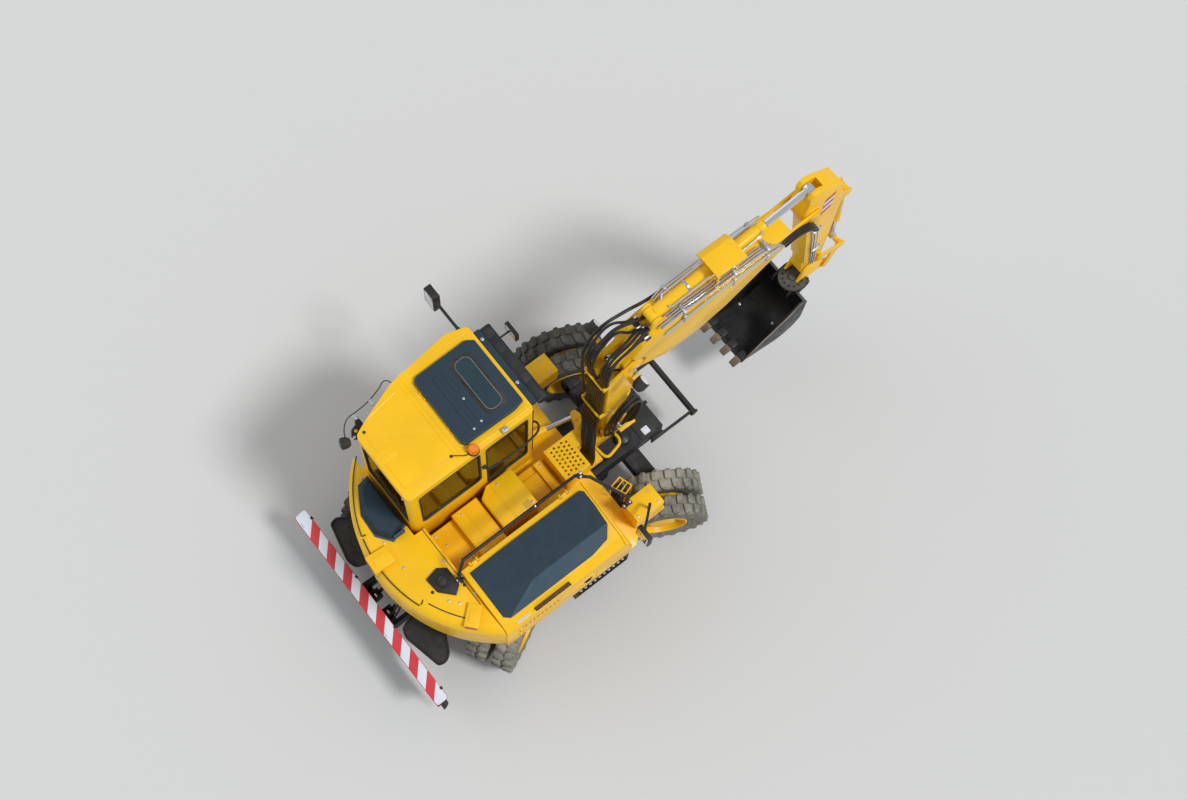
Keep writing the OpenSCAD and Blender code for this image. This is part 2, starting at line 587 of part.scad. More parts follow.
module hatch_panel() translate([0, 0, cab_top_z]) difference() {
  union() {
    box([hatch_lo[0] + run_gap, hatch_lo[1] + run_gap, -25], [hatch_hi[0] - run_gap, hatch_hi[1] - run_gap, 6]);
    translate([0, 0, 5]) linear_extrude(50)
      polygon(rounded([[hatch_lo[0] - 30, 215], [485, 215], [485, 1070], [hatch_lo[0] - 30, 1070]], 60));
  }
  box([hatch_lo[0] + 30, hatch_lo[1] + 30, -26], [hatch_hi[0] - 30, hatch_hi[1] - 30, 30]);
  box([250, 390, 40], [400, 950, 60]);
  translate([0, 0, -cab_top_z]) for (y = hatch_hinges) for (side = [-1, 1])
    translate([hatch_hinge[0], y + side * 37, hatch_hinge[1]]) rotate([90, 0, 0]) hinge_room(16, 14);
}
module seat() dark() {
  box([-480, 460, doorway_z[0] + seat_gap], [-60, 880, 1560]);
  box([-520, 440, 1559], [0, 900, 1720]);
  translate([-480, 0, 1700]) rotate([0, -10, 0]) box([-60, 450, 0], [60, 890, 640]);
  for (y = [340, 890]) {
    box([-480, y, 1600], [-400, y + 110, 1780]);
    box([-480, y, 1780], [-60, y + 90, 1830]);
  }
}
module console() dark() {
  box([300, 560, doorway_z[0] + seat_gap], [380, 780, 1520]);
  bar([335, 670, 1500], [230, 670, 2050], 30);
  translate([224, 670, 2050]) rotate([0, -12, 0]) {
    rotate_extrude() translate([165, 0]) circle(r = 14, $fn = 16);
    box([-12, -166, -8], [12, 166, 8]);
  }
}

// Between the cab and the engine housing
module deck_boxes() yellow() {
  box([tail_step_x + seat_gap, housing_y + seat_gap, deck_top], [-560, 60, 1480]);
  box([-560 + seat_gap, -440, deck_top], [-250, 70, 1600]);
  translate([0, 0, deck_top]) linear_extrude(1700 - deck_top)
    polygon([[-230, -380], [-230, 0], [-120, 80], [190, 80], [190, -380]]);
  box([190 + seat_gap, housing_y + seat_gap, deck_top], [560, -320, 1300]);
  box([210, -300, deck_top], [560, 70, 1240]);
}
module handrail() dark() {
  z = tail_top_z + seat_gap;
  bent_bar([[-890, -520, z], [-890, -520, 2000], [-800, -470, 2150], [560, -470, 2150], [680, -560, 2100],
    [930, -880, 1700], [930, -880, 1440 + seat_gap]], 17);
}
module mirrors() dark() {
  box([cab_front_x + seat_gap, 1040, 2200], [cab_front_x + 40, 1105, 2300]);
  bar_y([cab_front_x + 34, 2260], 16, 1080, 1800);
  box([cab_front_x + 10, 1770, 2000], [cab_front_x + 90, 1930, 2330]);
  translate([cab_front_x + 30, 1065, 2290]) rotate([0, 90, 0]) cylinder(r = 10, h = 400);
  box([cab_front_x + 410, 950, 2240], [cab_front_x + 450, 1130, 2390]);
  bent_bar([[1080, -1050, 1440 + seat_gap], [1080, -1050, 1600], [790, -1290, 1850]], 14);
  box([760, -1390, 1700], [810, -1210, 1960]);
}
module beacon() translate([-180, 150, cab_top_z + seat_gap]) {
  color(AMBER) from_slew() translate([0, 0, 29]) cylinder(r = 52, h = 90);
  color(DARK) from_slew() cylinder(r = 58, h = 30);
}
module lamp_boxes() yellow() {
  box([lamp_x[0], lamp_left_y[0], deck_top], [lamp_x[1], lamp_left_y[1], 1320]);
  box([lamp_x[0], lamp_right_y[0], deck_top], [lamp_x[1] - 40, lamp_right_y[1], 1440]);
  for (t = tail_lamps) tail_lamp(t, 0);
}
module caps() dark() translate([0, 0, tail_top_z + seat_gap]) {
  linear_extrude(120) polygon(rounded([[-1180, 170], [-1290, 330], [-1270, 560], [-1120, 820], [-1000, 860], [-1000, 230]], 30));
  linear_extrude(30) polygon(rounded([[-1160, -330], [-1150, -560], [-1010, -640], [-930, -560], [-930, -370], [-1010, -290]], 30));
}

// Swing post
post_half = boom_half_w + 15;
slot_half = 70;
module swing_post() yellow() {
  difference() {
    union() {
      translate([post_x, 0, deck_top + run_gap]) cylinder(r = lug_r - 2, h = lug_top[0] - deck_top - 2 * run_gap);
      side_plate([[post_x, deck_top + run_gap], [foot[0] + 60, deck_top + 40], [lift_base[0] + 70, lift_base[1] - 80],
        [lift_base[0] + 70, lift_base[1] + 60], [foot[0] + 125, lift_base[1] + 60], [foot[0] + 55, foot[1] - 95],
        [foot[0] + 90, foot[1] - 40], [foot[0] + 95, foot[1] + 30], [foot[0] + 50, foot[1] + 85],
        [foot[0] - 50, foot[1] + 85], [foot[0] - 95, foot[1] + 30], [foot[0] - 90, lug_top[0] - run_gap],
        [post_x, lug_top[0] - run_gap]], -post_half, post_half);
      // Lug of the swing cylinder
      for (z = [swing_z - 58, swing_z + 36]) translate([0, 0, z]) linear_extrude(22)
        polygon([[post_x - 60, 60], [post_x + 100, 60], [swing_eye[0] + 46, swing_eye[1]],
          [swing_eye[0] + 33, swing_eye[1] + 33], [swing_eye[0], swing_eye[1] + 46],
          [swing_eye[0] - 33, swing_eye[1] + 33], [swing_eye[0] - 46, swing_eye[1]]]);
      translate([post_x, 0, deck_z + 2]) cylinder(r = post_pin_r, h = lug_top[1] - deck_z);
    }
    side_plate([[foot[0] - 200, foot[1] + 300], [foot[0] - 200, lug_top[0] - run_gap], [foot[0] - 100, lug_top[0] - run_gap],
      [foot[0] - 60, foot[1] - 122], [foot[0] + 130, foot[1] - 122], [foot[0] + 230, foot[1] + 300]], -eye_side, eye_side);
    side_plate([[lift_base[0] - 75, lift_base[1] - 70], [lift_base[0] + 90, lift_base[1] - 90],
      [lift_base[0] + 90, lift_base[1] + 200], [lift_base[0] - 100, lift_base[1] + 200]], -slot_half, slot_half);
  }
  // The upright pin where the notch would shorten it, the boom's pin and the lift cylinder's
  translate([post_x, 0, lug_top[0] - 20]) cylinder(r = post_pin_r, h = lug_top[1] - lug_top[0] + 22);
  pin_y(foot, pin_r, post_half);
  pin_y(lift_base, 30, slot_half + 1);
}
swing_way = swing_eye - swing_base;
swing_angle = atan2(swing_way[1], swing_way[0]);
module swing_barrel() yellow() translate([swing_base[0], swing_base[1], swing_z]) difference() {
  union() {
    translate([0, 0, -46]) cylinder(r = 48, h = 92);
    rotate([0, 90, swing_angle]) translate([0, 0, 30]) cylinder(r = 46, h = 620);
  }
  rotate([0, 90, swing_angle]) translate([0, 0, 70]) cylinder(r = 27.5, h = 620);
  translate([0, 0, -50]) cylinder(r = 24 + fit_gap, h = 100);
}
module swing_rod() steel() translate([swing_eye[0], swing_eye[1], swing_z]) {
  translate([0, 0, -28]) cylinder(r = 44, h = 56);
  rotate([0, 90, swing_angle + 180]) translate([0, 0, 25]) cylinder(r = 27, h = 575);
}

// Lower boom: the column over the swing post
fork_r = 115;
column_x = [1190, 1460];
module lower_boom() yellow() {
  difference() {
    side_plate(concat([[foot[0] + 75, foot[1] - 70], [column_x[1], 1700], [column_x[1], 2600], [column_x[1] + 38, 2880]],
      arc(joint, fork_r, -30, 100, 8), [[column_x[0], 3000], [column_x[0], 1700], [foot[0] - 75, foot[1] - 50],
        [foot[0] - 45, foot[1] - 62]]), -boom_half_w, boom_half_w);
    // Narrow foot between the post's ears
    for (y = [-200, eye_side - run_gap]) bar_y(foot, 126, y, y + 200 - eye_side + run_gap);
    pin_y(foot, pin_r + fit_gap, 200);
    // Fork for the upper boom
    side_plate([[column_x[0] - 100, 2945], [1345, 2945], [1390, 2850], [1580, 2850], [1700, 2950], [1700, 3300],
      [column_x[0] - 100, 3300]], -eye_side, eye_side);
    // Slot of the adjusting cylinder
    side_plate([[column_x[0] - 1, 1790], [1390, 1790], [1432, 2700], [1432, 2950], [column_x[0] - 1, 2950]], -56, 56);
  }
  pin_y(joint, pin_r, boom_half_w);
  pin_y(adjust_base, 22, 57);
  // Ears of the lift cylinder
  side_plates([[column_x[1] - 1, 2060], lift_eye + [45, -50], lift_eye + [65, 0], lift_eye + [45, 50], [column_x[1] - 1, 2440]],
    slot_half + 2, slot_half + 2 + fork_t);
}
module lift_barrel() yellow() barrel(lift_base, lift_eye, 550, 60, 36, 58, 30, 64);
module lift_rod() steel() rod(lift_base, lift_eye, 500, 36, 50, 45);
module adjust_barrel() yellow() barrel(adjust_base, adjust_eye, 900, 46, 28, 44, 22, 48);
module adjust_rod() steel() rod(adjust_base, adjust_eye, 600, 28, 42, 36);

// Upper boom
module upper_boom() yellow() {
  difference() {
    side_plate(concat(arc(joint, 95, 200, 300, 6), [[1900, 2680], [2330, 2680], [2640, 2810], [3120, 3170], [3540, 3460]],
      arc(tip, 95, -60, 90, 8), [[3300, 3600], [2700, 3600], [1900, 3560], [1560, 3450], [joint[0] - 105, 3180]]),
      -boom_half_w, boom_half_w);
    // Narrow heel between the plates of the lower boom
    for (y = [-200, eye_side - run_gap])
      bar_y(joint, fork_r + run_gap + 30, y, y + 200 - eye_side + run_gap);
    for (y = [-200, eye_side - run_gap]) side_plate([[1100, 2900], [1500, 2850], [1500, 3170], [1450, 3300], [1100, 3300]],
      y, y + 200 - eye_side + run_gap);
    pin_y(joint, pin_r + fit_gap, 200);
    // Way of the adjusting cylinder
    side_plate([[1200, 2850], [joint[0] - 20, 2850], [joint[0] - 20, 3150], [1480, 3420], [1200, 3420]], -46, 46);
    // Fork for the arm
    box([3330, -eye_side, 3200], [3760, eye_side, 3700]);
  }
  pin_y(tip, pin_r, boom_half_w);
  // Horn that the adjusting cylinder pulls
  side_plates(concat(arc(adjust_eye, 55, 90, 230, 6), [[joint[0] - 95, joint[1] - 30], [joint[0] + 20, joint[1] + 100],
    [1560, 3400]]), 46, 80);
  // Ears of the arm cylinder
  side_plates(concat([[1660, 3470]], [[1900, 3550]], arc(arm_cyl_base, 60, -30, 180, 8)), 68, 93);
  pin_y(arm_cyl_base, 30, 93);
}
module arm_barrel() yellow() barrel(arm_cyl_base, arm_cyl_eye, 1330, 60, 36, 58, 30, 62);
module arm_rod() steel() rod(arm_cyl_base, arm_cyl_eye, 930, 36, 50, 45);

// Arm
module arm() yellow() {
  difference() {
    union() {
      side_plate([[3525, 3960], [3560, 4010], [3640, 4020], [3960, 3790], [4060, 3350], [4080, 2200], [4065, 1640],
        [4030, 1565], [3975, 1545], [3915, 1570], [3885, 1640], [3880, 1750], [3760, 2500], [3640, 3200],
        [3520, 3480], [3500, 3620], [3540, 3800]], -arm_half_w, arm_half_w);
      pin_y(tip, 105, eye_side - run_gap);
    }
    pin_y(tip, pin_r + fit_gap, 200);
    // Room for the rod's eye
    side_plate([[3300, 3700], [3700, 3850], [3720, 3870], [3720, 4200], [3300, 4200]], -52, 52);
    // Narrow end between the coupler's plates
    for (y = [-200, 75]) bar_y(arm_end, 372, y, y + 125);
    pin_y(arm_end, pin_r + fit_gap, 200);
  }
  pin_y(rocker_pin, rocker_pin_r, 160);
  // Ears of the bucket cylinder
  side_plates([[4050, 3400], [4040, 3050], [4150, 3190], [4195, 3195], [4225, 3240], [4215, 3295], [4160, 3310]], 56, 78);
  pin_y(bucket_cyl_base, 24, 78);
}
module bucket_barrel() yellow() barrel(bucket_cyl_base, rocker_end, 860, 46, 28, 44, 24, 50);
module bucket_rod() steel() rod(bucket_cyl_base, rocker_end, 860, 28, 42, 38);

// Bucket linkage: link plates lie inside the rocker's and outside the coupler's
coupler_y = [80, 105];
link_y = [112, 132];
rocker_y = [137, 157];
link_pin_r = 30;
rocker_pin_r = 28;
module rocker() yellow() {
  difference() {
    side_plates(concat(arc(rocker_pin, 52, 70, 250, 8), arc(rocker_end, 52, -110, 70, 8)), rocker_y[0], rocker_y[1]);
    pin_y(rocker_pin, rocker_pin_r + fit_gap, 200);
  }
  side_plates(arc(rocker_end, link_pin_r, 0, 345, 23), 46, rocker_y[0] + 1);
}
module bucket_link() yellow() difference() {
  side_plates(concat(arc(rocker_end, 48, -14, 166, 8), arc(link_end, 48, 166, 346, 8)), link_y[0], link_y[1]);
  pin_y(rocker_end, link_pin_r + fit_gap, 200);
}
module coupler() yellow() {
  side_plates(concat(arc(arm_end, 85, 30, 200, 8), [[3840, 1440], [4250, 1400]], arc(link_end, 55, -70, 60, 6)),
    coupler_y[0], coupler_y[1]);
  box([3790, -108, 1400], [4250, 108, 1440]);
  pin_y(arm_end, pin_r, coupler_y[1]);
}

// Bucket: its inner and outer outline run from the lip round the heel to the top
lip = [3020, 800];
bucket_top = [3730, 1400];
heel = [3560, 950];
heel_r = 300;
module bucket_outline(d) polygon(concat([lip + [0, d]], arc(heel, heel_r - d, -110, 10, 10),
  [[3862 - d, 1300], bucket_top + [60, 0], bucket_top], arc([3300, 1250], 260, -5, -85, 5)));
module bucket() dark() {
  half = bucket_w / 2;
  difference() {
    translate([0, half, 0]) rotate([90, 0, 0]) linear_extrude(bucket_w) bucket_outline(0);
    translate([0, half - bucket_wall, 0]) rotate([90, 0, 0]) linear_extrude(bucket_w - 2 * bucket_wall) {
      bucket_outline(bucket_wall);
      polygon([lip + [-80, 17], lip + [10, 17], [3300, 900], [3700, 1250], bucket_top + [-5, 1], [3400, 1500], [2900, 1200]]);
    }
  }
  // Teeth
  for (i = [0:3]) side_plate([lip + [60, 5], lip + [-20, 16], lip + [-85, -38], lip + [-20, -22], lip + [60, -36]],
    -half + 15 + i * (bucket_w - 105) / 3, -half + 90 + i * (bucket_w - 105) / 3);
  // Ears under the coupler
  side_plates(concat(arc([3815, 1290], 95, 100, 280, 8), [[3862, 1200], [3990, 1300], [4010, 1400 - seat_gap], [3800, 1400 - seat_gap]]),
    112, 137);
  box([3795, -137, 1375], [4005, 137, 1400 - seat_gap]);
}

chassis_frame();
front_axle();
rear_axle();
front_bar();
side_boxes();
rear_guards();
blade();
blade_barrels();
blade_rods();
knuckle_front_left();
knuckle_front_right();
knuckle_rear_left();
knuckle_rear_right();
rims_front_left();
rims_front_right();
rims_rear_left();
rims_rear_right();
tyres_front_left();
tyres_front_right();
tyres_rear_left();
tyres_rear_right();
upper_frame();
counterweight();
engine();
housing();
hood();
hood_cover();
side_door();
cab_shell();
cab_glass();
cab_door();
cab_visor();
roof_hatch();
seat();
console();
deck_boxes();
handrail();
mirrors();
beacon();
lamp_boxes();
caps();
swing_post();
swing_barrel();
swing_rod();
lower_boom();
lift_barrel();
lift_rod();
adjust_barrel();
adjust_rod();
upper_boom();
arm_barrel();
arm_rod();
arm();
bucket_barrel();
bucket_rod();
rocker();
bucket_link();
coupler();
bucket();
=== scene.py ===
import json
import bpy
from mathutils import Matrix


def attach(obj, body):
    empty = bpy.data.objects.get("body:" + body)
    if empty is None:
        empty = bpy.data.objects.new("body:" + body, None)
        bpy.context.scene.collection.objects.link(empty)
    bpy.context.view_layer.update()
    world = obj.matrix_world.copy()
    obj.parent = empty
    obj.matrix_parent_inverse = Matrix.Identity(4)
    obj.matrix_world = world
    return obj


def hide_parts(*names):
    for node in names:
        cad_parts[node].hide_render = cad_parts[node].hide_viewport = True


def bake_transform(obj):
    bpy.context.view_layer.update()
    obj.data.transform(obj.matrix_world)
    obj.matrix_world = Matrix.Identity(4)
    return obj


bl_info = {
    "name": "Wheeled excavator",
    "version": (1, 0, 0),
    "blender": (4, 5, 0),
    "location": "View3D > Sidebar > Excavator",
    "description": "Paint, glass, tread, hoses and fittings for a compact wheeled excavator",
    "category": "Object",
}

from math import atan2, cos, pi, radians, sin

import bpy
from mathutils import Matrix, Vector

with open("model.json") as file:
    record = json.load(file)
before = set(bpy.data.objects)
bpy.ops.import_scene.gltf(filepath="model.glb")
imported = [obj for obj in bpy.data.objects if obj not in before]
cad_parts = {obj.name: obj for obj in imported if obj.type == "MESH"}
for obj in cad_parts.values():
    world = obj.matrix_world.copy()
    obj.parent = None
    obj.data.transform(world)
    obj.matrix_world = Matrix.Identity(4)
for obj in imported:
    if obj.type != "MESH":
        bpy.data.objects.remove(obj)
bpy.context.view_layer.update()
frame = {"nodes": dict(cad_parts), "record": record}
NODES = frame["nodes"]

# Pieces are drawn in metres about the slew axis on the ground, X forward and Y
# left, and go to the frame's own origin as they are handed over
SLEW = Vector((-1.316, -0.270, 0.0))
# Each wheel pair's place along X, its side and its steering angle at rest
CORNERS = {
    "front_left": (1.495, 1, -20), "front_right": (1.495, -1, -28),
    "rear_left": (-0.735, 1, 20), "rear_right": (-0.735, -1, 28),
}
KINGPIN_Y, AXLE_Z, TWIN_OFFSET, TWIN_PITCH = 0.745, 0.490, 0.212, 0.285
ROOF_Z, TAIL_Z, DECK_Z = 2.890, 1.760, 1.130
# The hood is at its highest along its inner edge, and falls outward by this share
HOOD_IN, HOOD_TOP, HOOD_FALL = -0.500, 1.900, (1.900 - 1.790) / 0.650
# The boom's pins in X and Z; each cylinder's two pins, its barrel's length and radius
FOOT, JOINT, TIP = (1.275, 1.500), (1.480, 3.020), (3.610, 3.560)
CYLINDERS = {
    "lift": ((1.480, 1.290), (1.640, 2.250), 0.550, 0.060),
    "adjust": ((1.320, 1.850), (1.300, 3.235), 0.900, 0.046),
    "arm": ((1.760, 3.650), (3.600, 3.950), 1.330, 0.060),
    "bucket": ((4.170, 3.250), (4.330, 1.890), 0.860, 0.046),
}


# Hand tools

def start():
    """Goes back to object mode with nothing selected."""
    if bpy.context.object and bpy.context.object.mode != "OBJECT":
        bpy.ops.object.mode_set(mode="OBJECT")
    bpy.ops.object.select_all(action="DESELECT")


def pick(*pieces):
    """Selects these pieces and makes the first one active."""
    start()
    for piece in pieces:
        piece.select_set(True)
    bpy.context.view_layer.objects.active = pieces[0]
    return pieces[0]


def settled():
    """Applies the new primitive's place, so that it is in its mesh."""
    bpy.ops.object.transform_apply(location=True, rotation=True, scale=True)
    return bpy.context.object


def modified(piece, kind, **values):
    """Adds a modifier with these values and applies it."""
    step = piece.modifiers.new(kind.title(), kind)
    for key, value in values.items():
        setattr(step, key, value)
    pick(piece)
    bpy.ops.object.modifier_apply(modifier=step.name)
    return piece


def softened(piece, width, segments=2, angle=32):
    """Rounds the edges that are sharper than the angle and shades the rest smooth."""
    if width:
        modified(piece, "BEVEL", width=width, segments=segments, limit_method="ANGLE", angle_limit=radians(angle))
    pick(piece)
    bpy.ops.object.shade_smooth_by_angle(angle=radians(angle))
    return piece


def coated(piece, finish):
    """Gives a piece one finish."""
    piece.data.materials.clear()
    piece.data.materials.append(FINISHES[finish])
    return piece


def block(finish, low, high, edge=0.004):
    """A box between two corners with rounded edges."""
    low, high = Vector(low), Vector(high)
    start()
    bpy.ops.mesh.primitive_cube_add(size=1, location=(low + high) / 2, scale=high - low)
    return softened(coated(settled(), finish), edge)


def raised(outline, across, value):
    """An outline's points in space, at one place along the axis that they skip."""
    axis = "XYZ".index(across)
    return [(*point[:axis], value, *point[axis:]) for point in outline]


def plate(finish, outline, low, high, across="Z", edge=0.003, segments=2):
    """An outline pushed through from low to high along one axis. Its points skip that axis."""
    start()
    bpy.ops.mesh.primitive_circle_add(vertices=len(outline), fill_type="NGON")
    piece = bpy.context.object
    for vertex, point in zip(piece.data.vertices, raised(outline, across, low)):
        vertex.co = point
    way = raised([(0, 0)], across, high - low)[0]
    bpy.ops.object.mode_set(mode="EDIT")
    bpy.ops.mesh.select_all(action="SELECT")
    bpy.ops.mesh.extrude_region_move(TRANSFORM_OT_translate={"value": way})
    bpy.ops.mesh.select_all(action="SELECT")
    bpy.ops.mesh.normals_make_consistent(inside=False)
    bpy.ops.object.mode_set(mode="OBJECT")
    return softened(coated(settled(), finish), edge, segments)


def bar(finish, first, last, radius, sides=24, edge=0):
    """A round bar between two points."""
    first, last = Vector(first), Vector(last)
    way = last - first
    start()
    bpy.ops.mesh.primitive_cone_add(vertices=sides, radius1=radius, radius2=radius, depth=way.length,
                                    location=(first + last) / 2, rotation=way.to_track_quat("Z", "Y").to_euler())
    return softened(coated(settled(), finish), edge)


def disc(finish, place, height, radius, sides=24, edge=0, across="Z"):
    """A round bar that stands on a place along one axis."""
    return bar(finish, place, Vector(place) + Vector(raised([(0, 0)], across, height)[0]), radius, sides, edge)


def tube(finish, points, radius, closed=False, smooth=True, sides=3):
    """A round tube along smooth or straight stretches between points."""
    start()
    bpy.ops.curve.primitive_bezier_curve_add()
    line = bpy.context.object
    line.matrix_world = Matrix.Identity(4)
    spline = line.data.splines[0]
    spline.bezier_points.add(len(points) - 2)
    for bend, point in zip(spline.bezier_points, points):
        bend.co = point
        bend.handle_left_type = bend.handle_right_type = "AUTO" if smooth else "VECTOR"
    spline.resolution_u = 8 if smooth else 1
    spline.use_cyclic_u = closed
    line.data.bevel_depth, line.data.bevel_resolution = radius, sides
    line.data.use_fill_caps = not closed
    bpy.ops.object.convert(target="MESH")
    return softened(coated(bpy.context.object, finish), 0)


def rounded_path(points, bend, steps=5):
    """The points with each inner corner turned into a short arc."""
    path = [Vector(points[0])]
    for before, corner, after in zip(points, points[1:], points[2:]):
        before, corner, after = Vector(before), Vector(corner), Vector(after)
        reach = min(bend, (before - corner).length * 0.45, (after - corner).length * 0.45)
        a = corner + (before - corner).normalized() * reach
        b = corner + (after - corner).normalized() * reach
        for i in range(steps + 1):
            t = i / steps
            path.append(a * (1 - t) ** 2 + corner * 2 * t * (1 - t) + b * t ** 2)
    return path + [Vector(points[-1])]


def bent_pipe(finish, points, radius, bend=0.05, sides=3):
    """A stiff pipe with short bends at its corners."""
    return tube(finish, rounded_path(points, bend), radius, smooth=False, sides=sides)


def ring(finish, outline, at, radius, across="Z", sides=3):
    """A closed pipe along an outline, at one place along the axis that its points skip."""
    return tube(finish, raised(outline, across, at), radius, closed=True, smooth=False, sides=sides)


def rounded_outline(low, high, radius, steps=4):
    """A rectangle's outline with round corners."""
    outline = []
    for x, y, turn in ((high[0] - radius, high[1] - radius, 0), (low[0] + radius, high[1] - radius, 90),
                       (low[0] + radius, low[1] + radius, 180), (high[0] - radius, low[1] + radius, 270)):
        for i in range(steps + 1):
            a = radians(turn + 90 * i / steps)
            outline.append((x + radius * cos(a), y + radius * sin(a)))
    return outline


def pad(finish, low, high, radius, bottom, top, across="Z", edge=0.003):
    """A plate with round corners."""
    return plate(finish, rounded_outline(low, high, radius), bottom, top, across, edge)


def circle(radius, count):
    """Places round a circle."""
    return [(radius * cos(2 * pi * i / count), radius * sin(2 * pi * i / count)) for i in range(count)]


def spun(finish, profile, steps=72):
    """A profile of (radius, y) points turned once about the Y axis."""
    start()
    bpy.ops.mesh.primitive_circle_add(vertices=len(profile))
    piece = bpy.context.object
    for vertex, (radius, y) in zip(piece.data.vertices, profile):
        vertex.co = (radius, y, 0)
    bpy.ops.object.mode_set(mode="EDIT")
    bpy.ops.mesh.select_all(action="SELECT")
    bpy.ops.mesh.spin(steps=steps, angle=2 * pi, center=(0, 0, 0), axis=(0, 1, 0))
    bpy.ops.mesh.select_all(action="SELECT")
    bpy.ops.mesh.remove_doubles(threshold=0.0001)
    bpy.ops.mesh.normals_make_consistent(inside=False)
    bpy.ops.object.mode_set(mode="OBJECT")
    return softened(coated(settled(), finish), 0)


def twin(piece):
    """A copy with a mesh of its own."""
    copy = piece.copy()
    copy.data = piece.data.copy()
    bpy.context.scene.collection.objects.link(copy)
    return copy


def moved(piece, place, turn=0, axis="Z"):
    """Turns a piece about an axis through the slew axis and then moves it, in its mesh."""
    piece.data.transform(Matrix.Translation(place) @ Matrix.Rotation(radians(turn), 4, axis))
    return piece


def repeated(piece, places):
    """Copies of one piece at these places, as one piece."""
    copies = [moved(twin(piece), place) for place in places]
    bpy.data.objects.remove(piece)
    return joined(copies)


def flipped(piece):
    """Puts a piece on the other side of the middle plane, in its mesh."""
    piece.data.transform(Matrix.Diagonal((1, -1, 1, 1)))
    piece.data.flip_normals()
    return piece


def joined(pieces):
    """Several pieces as one, each keeping its finish."""
    pick(*pieces)
    if len(pieces) > 1:
        bpy.ops.object.join()
    return bpy.context.object


def handed_over(parts, name, body, slot, *nodes):
    """Joins a piece's parts, moves it to the frame's origin, and lets it ride on its body."""
    piece = joined(parts) if isinstance(parts, list) else parts
    piece.name = piece.data.name = name
    piece.data.transform(Matrix.Translation(SLEW))
    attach(piece, body)
    if nodes:
        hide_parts(*nodes)


# Finishes

FINISHES = {}


def shader(name, colour, roughness, metallic=0.0):
    """A material and the parts of it that the finishes below wire up."""
    material = bpy.data.materials.new(name)
    material.use_nodes = True
    material.diffuse_color = (*colour, 1)
    surface = material.node_tree.nodes["Principled BSDF"]
    surface.inputs["Base Color"].default_value = (*colour, 1)
    surface.inputs["Roughness"].default_value = roughness
    surface.inputs["Metallic"].default_value = metallic
    FINISHES[name] = material
    return material.node_tree, surface


def noise(tree, scale, low, high, detail=4.0, spread=0.12):
    """Clouds on the piece's own coordinates, from low to high."""
    nodes, links = tree.nodes, tree.links
    place = nodes.get("Texture Coordinate") or nodes.new("ShaderNodeTexCoord")
    clouds = nodes.new("ShaderNodeTexNoise")
    clouds.inputs["Scale"].default_value = scale
    clouds.inputs["Detail"].default_value = detail
    levels = nodes.new("ShaderNodeMapRange")
    levels.inputs["From Min"].default_value = 0.5 - spread
    levels.inputs["From Max"].default_value = 0.5 + spread
    levels.inputs["To Min"].default_value = low
    levels.inputs["To Max"].default_value = high
    links.new(place.outputs["Object"], clouds.inputs["Vector"])
    links.new(clouds.outputs["Fac"], levels.inputs["Value"])
    return levels.outputs["Result"]


def blended(tree, factor, first, second):
    """A colour between two, each a colour or a socket."""
    mix = tree.nodes.new("ShaderNodeMix")
    mix.data_type = "RGBA"
    tree.links.new(factor, mix.inputs[0])
    for socket, value in ((mix.inputs[6], first), (mix.inputs[7], second)):
        if isinstance(value, tuple):
            socket.default_value = (*value, 1)
        else:
            tree.links.new(value, socket)
    return mix.outputs[2]


def upward(tree, cloud):
    """The cloud where a surface looks up, and little elsewhere."""
    shape = tree.nodes.new("ShaderNodeNewGeometry")
    split = tree.nodes.new("ShaderNodeSeparateXYZ")
    lift = tree.nodes.new("ShaderNodeMapRange")
    lift.inputs["From Min"].default_value = -0.2
    lift.inputs["To Min"].default_value = 0.25
    product = tree.nodes.new("ShaderNodeMath")
    product.operation = "MULTIPLY"
    tree.links.new(shape.outputs["Normal"], split.inputs[0])
    tree.links.new(split.outputs["Z"], lift.inputs["Value"])
    tree.links.new(lift.outputs["Result"], product.inputs[0])
    tree.links.new(cloud, product.inputs[1])
    return product.outputs[0]


def roughened(tree, surface, scale, strength, distance=0.002):
    """A fine bump over the whole surface."""
    bump = tree.nodes.new("ShaderNodeBump")
    bump.inputs["Strength"].default_value = strength
    bump.inputs["Distance"].default_value = distance
    tree.links.new(noise(tree, scale, 0.0, 1.0, 2.0, 0.3), bump.inputs["Height"])
    tree.links.new(bump.outputs["Normal"], surface.inputs["Normal"])


def paint(name, colour, shade, roughness, dust, coat=0.0, grain=(220, 0.04), metallic=0.0,
          dust_colour=(0.34, 0.29, 0.22), gloss=0.3):
    """Paint or plastic: slow changes of shade, dust where it lies, and a fine grain."""
    tree, surface = shader(name, colour, roughness, metallic)
    base = blended(tree, noise(tree, 1.7, 0.0, 1.0), colour, shade)
    if dust:
        base = blended(tree, upward(tree, noise(tree, 3.1, 0.0, dust, 8.0, 0.2)), base, dust_colour)
        base = blended(tree, noise(tree, 24.0, 0.0, dust * 0.55, 6.0, 0.18), base, dust_colour)
    tree.links.new(base, surface.inputs["Base Color"])
    tree.links.new(noise(tree, 9.0, roughness * 0.85, min(1.0, roughness * 1.2 + dust * 0.2)),
                   surface.inputs["Roughness"])
    surface.inputs["Specular IOR Level"].default_value = 0.5 if metallic else gloss
    surface.inputs["Coat Weight"].default_value = coat
    surface.inputs["Coat Roughness"].default_value = 0.12
    roughened(tree, surface, *grain)


def pane(name, colour, tint, roughness=0.03):
    """Tinted window glass that lets most light through."""
    tree, surface = shader(name, colour, roughness)
    surface.inputs["Transmission Weight"].default_value = 1.0
    surface.inputs["IOR"].default_value = 1.12
    surface.inputs["Specular IOR Level"].default_value = 0.8
    tree.links.new(blended(tree, noise(tree, 2.5, 0.0, 1.0), colour, tint), surface.inputs["Base Color"])


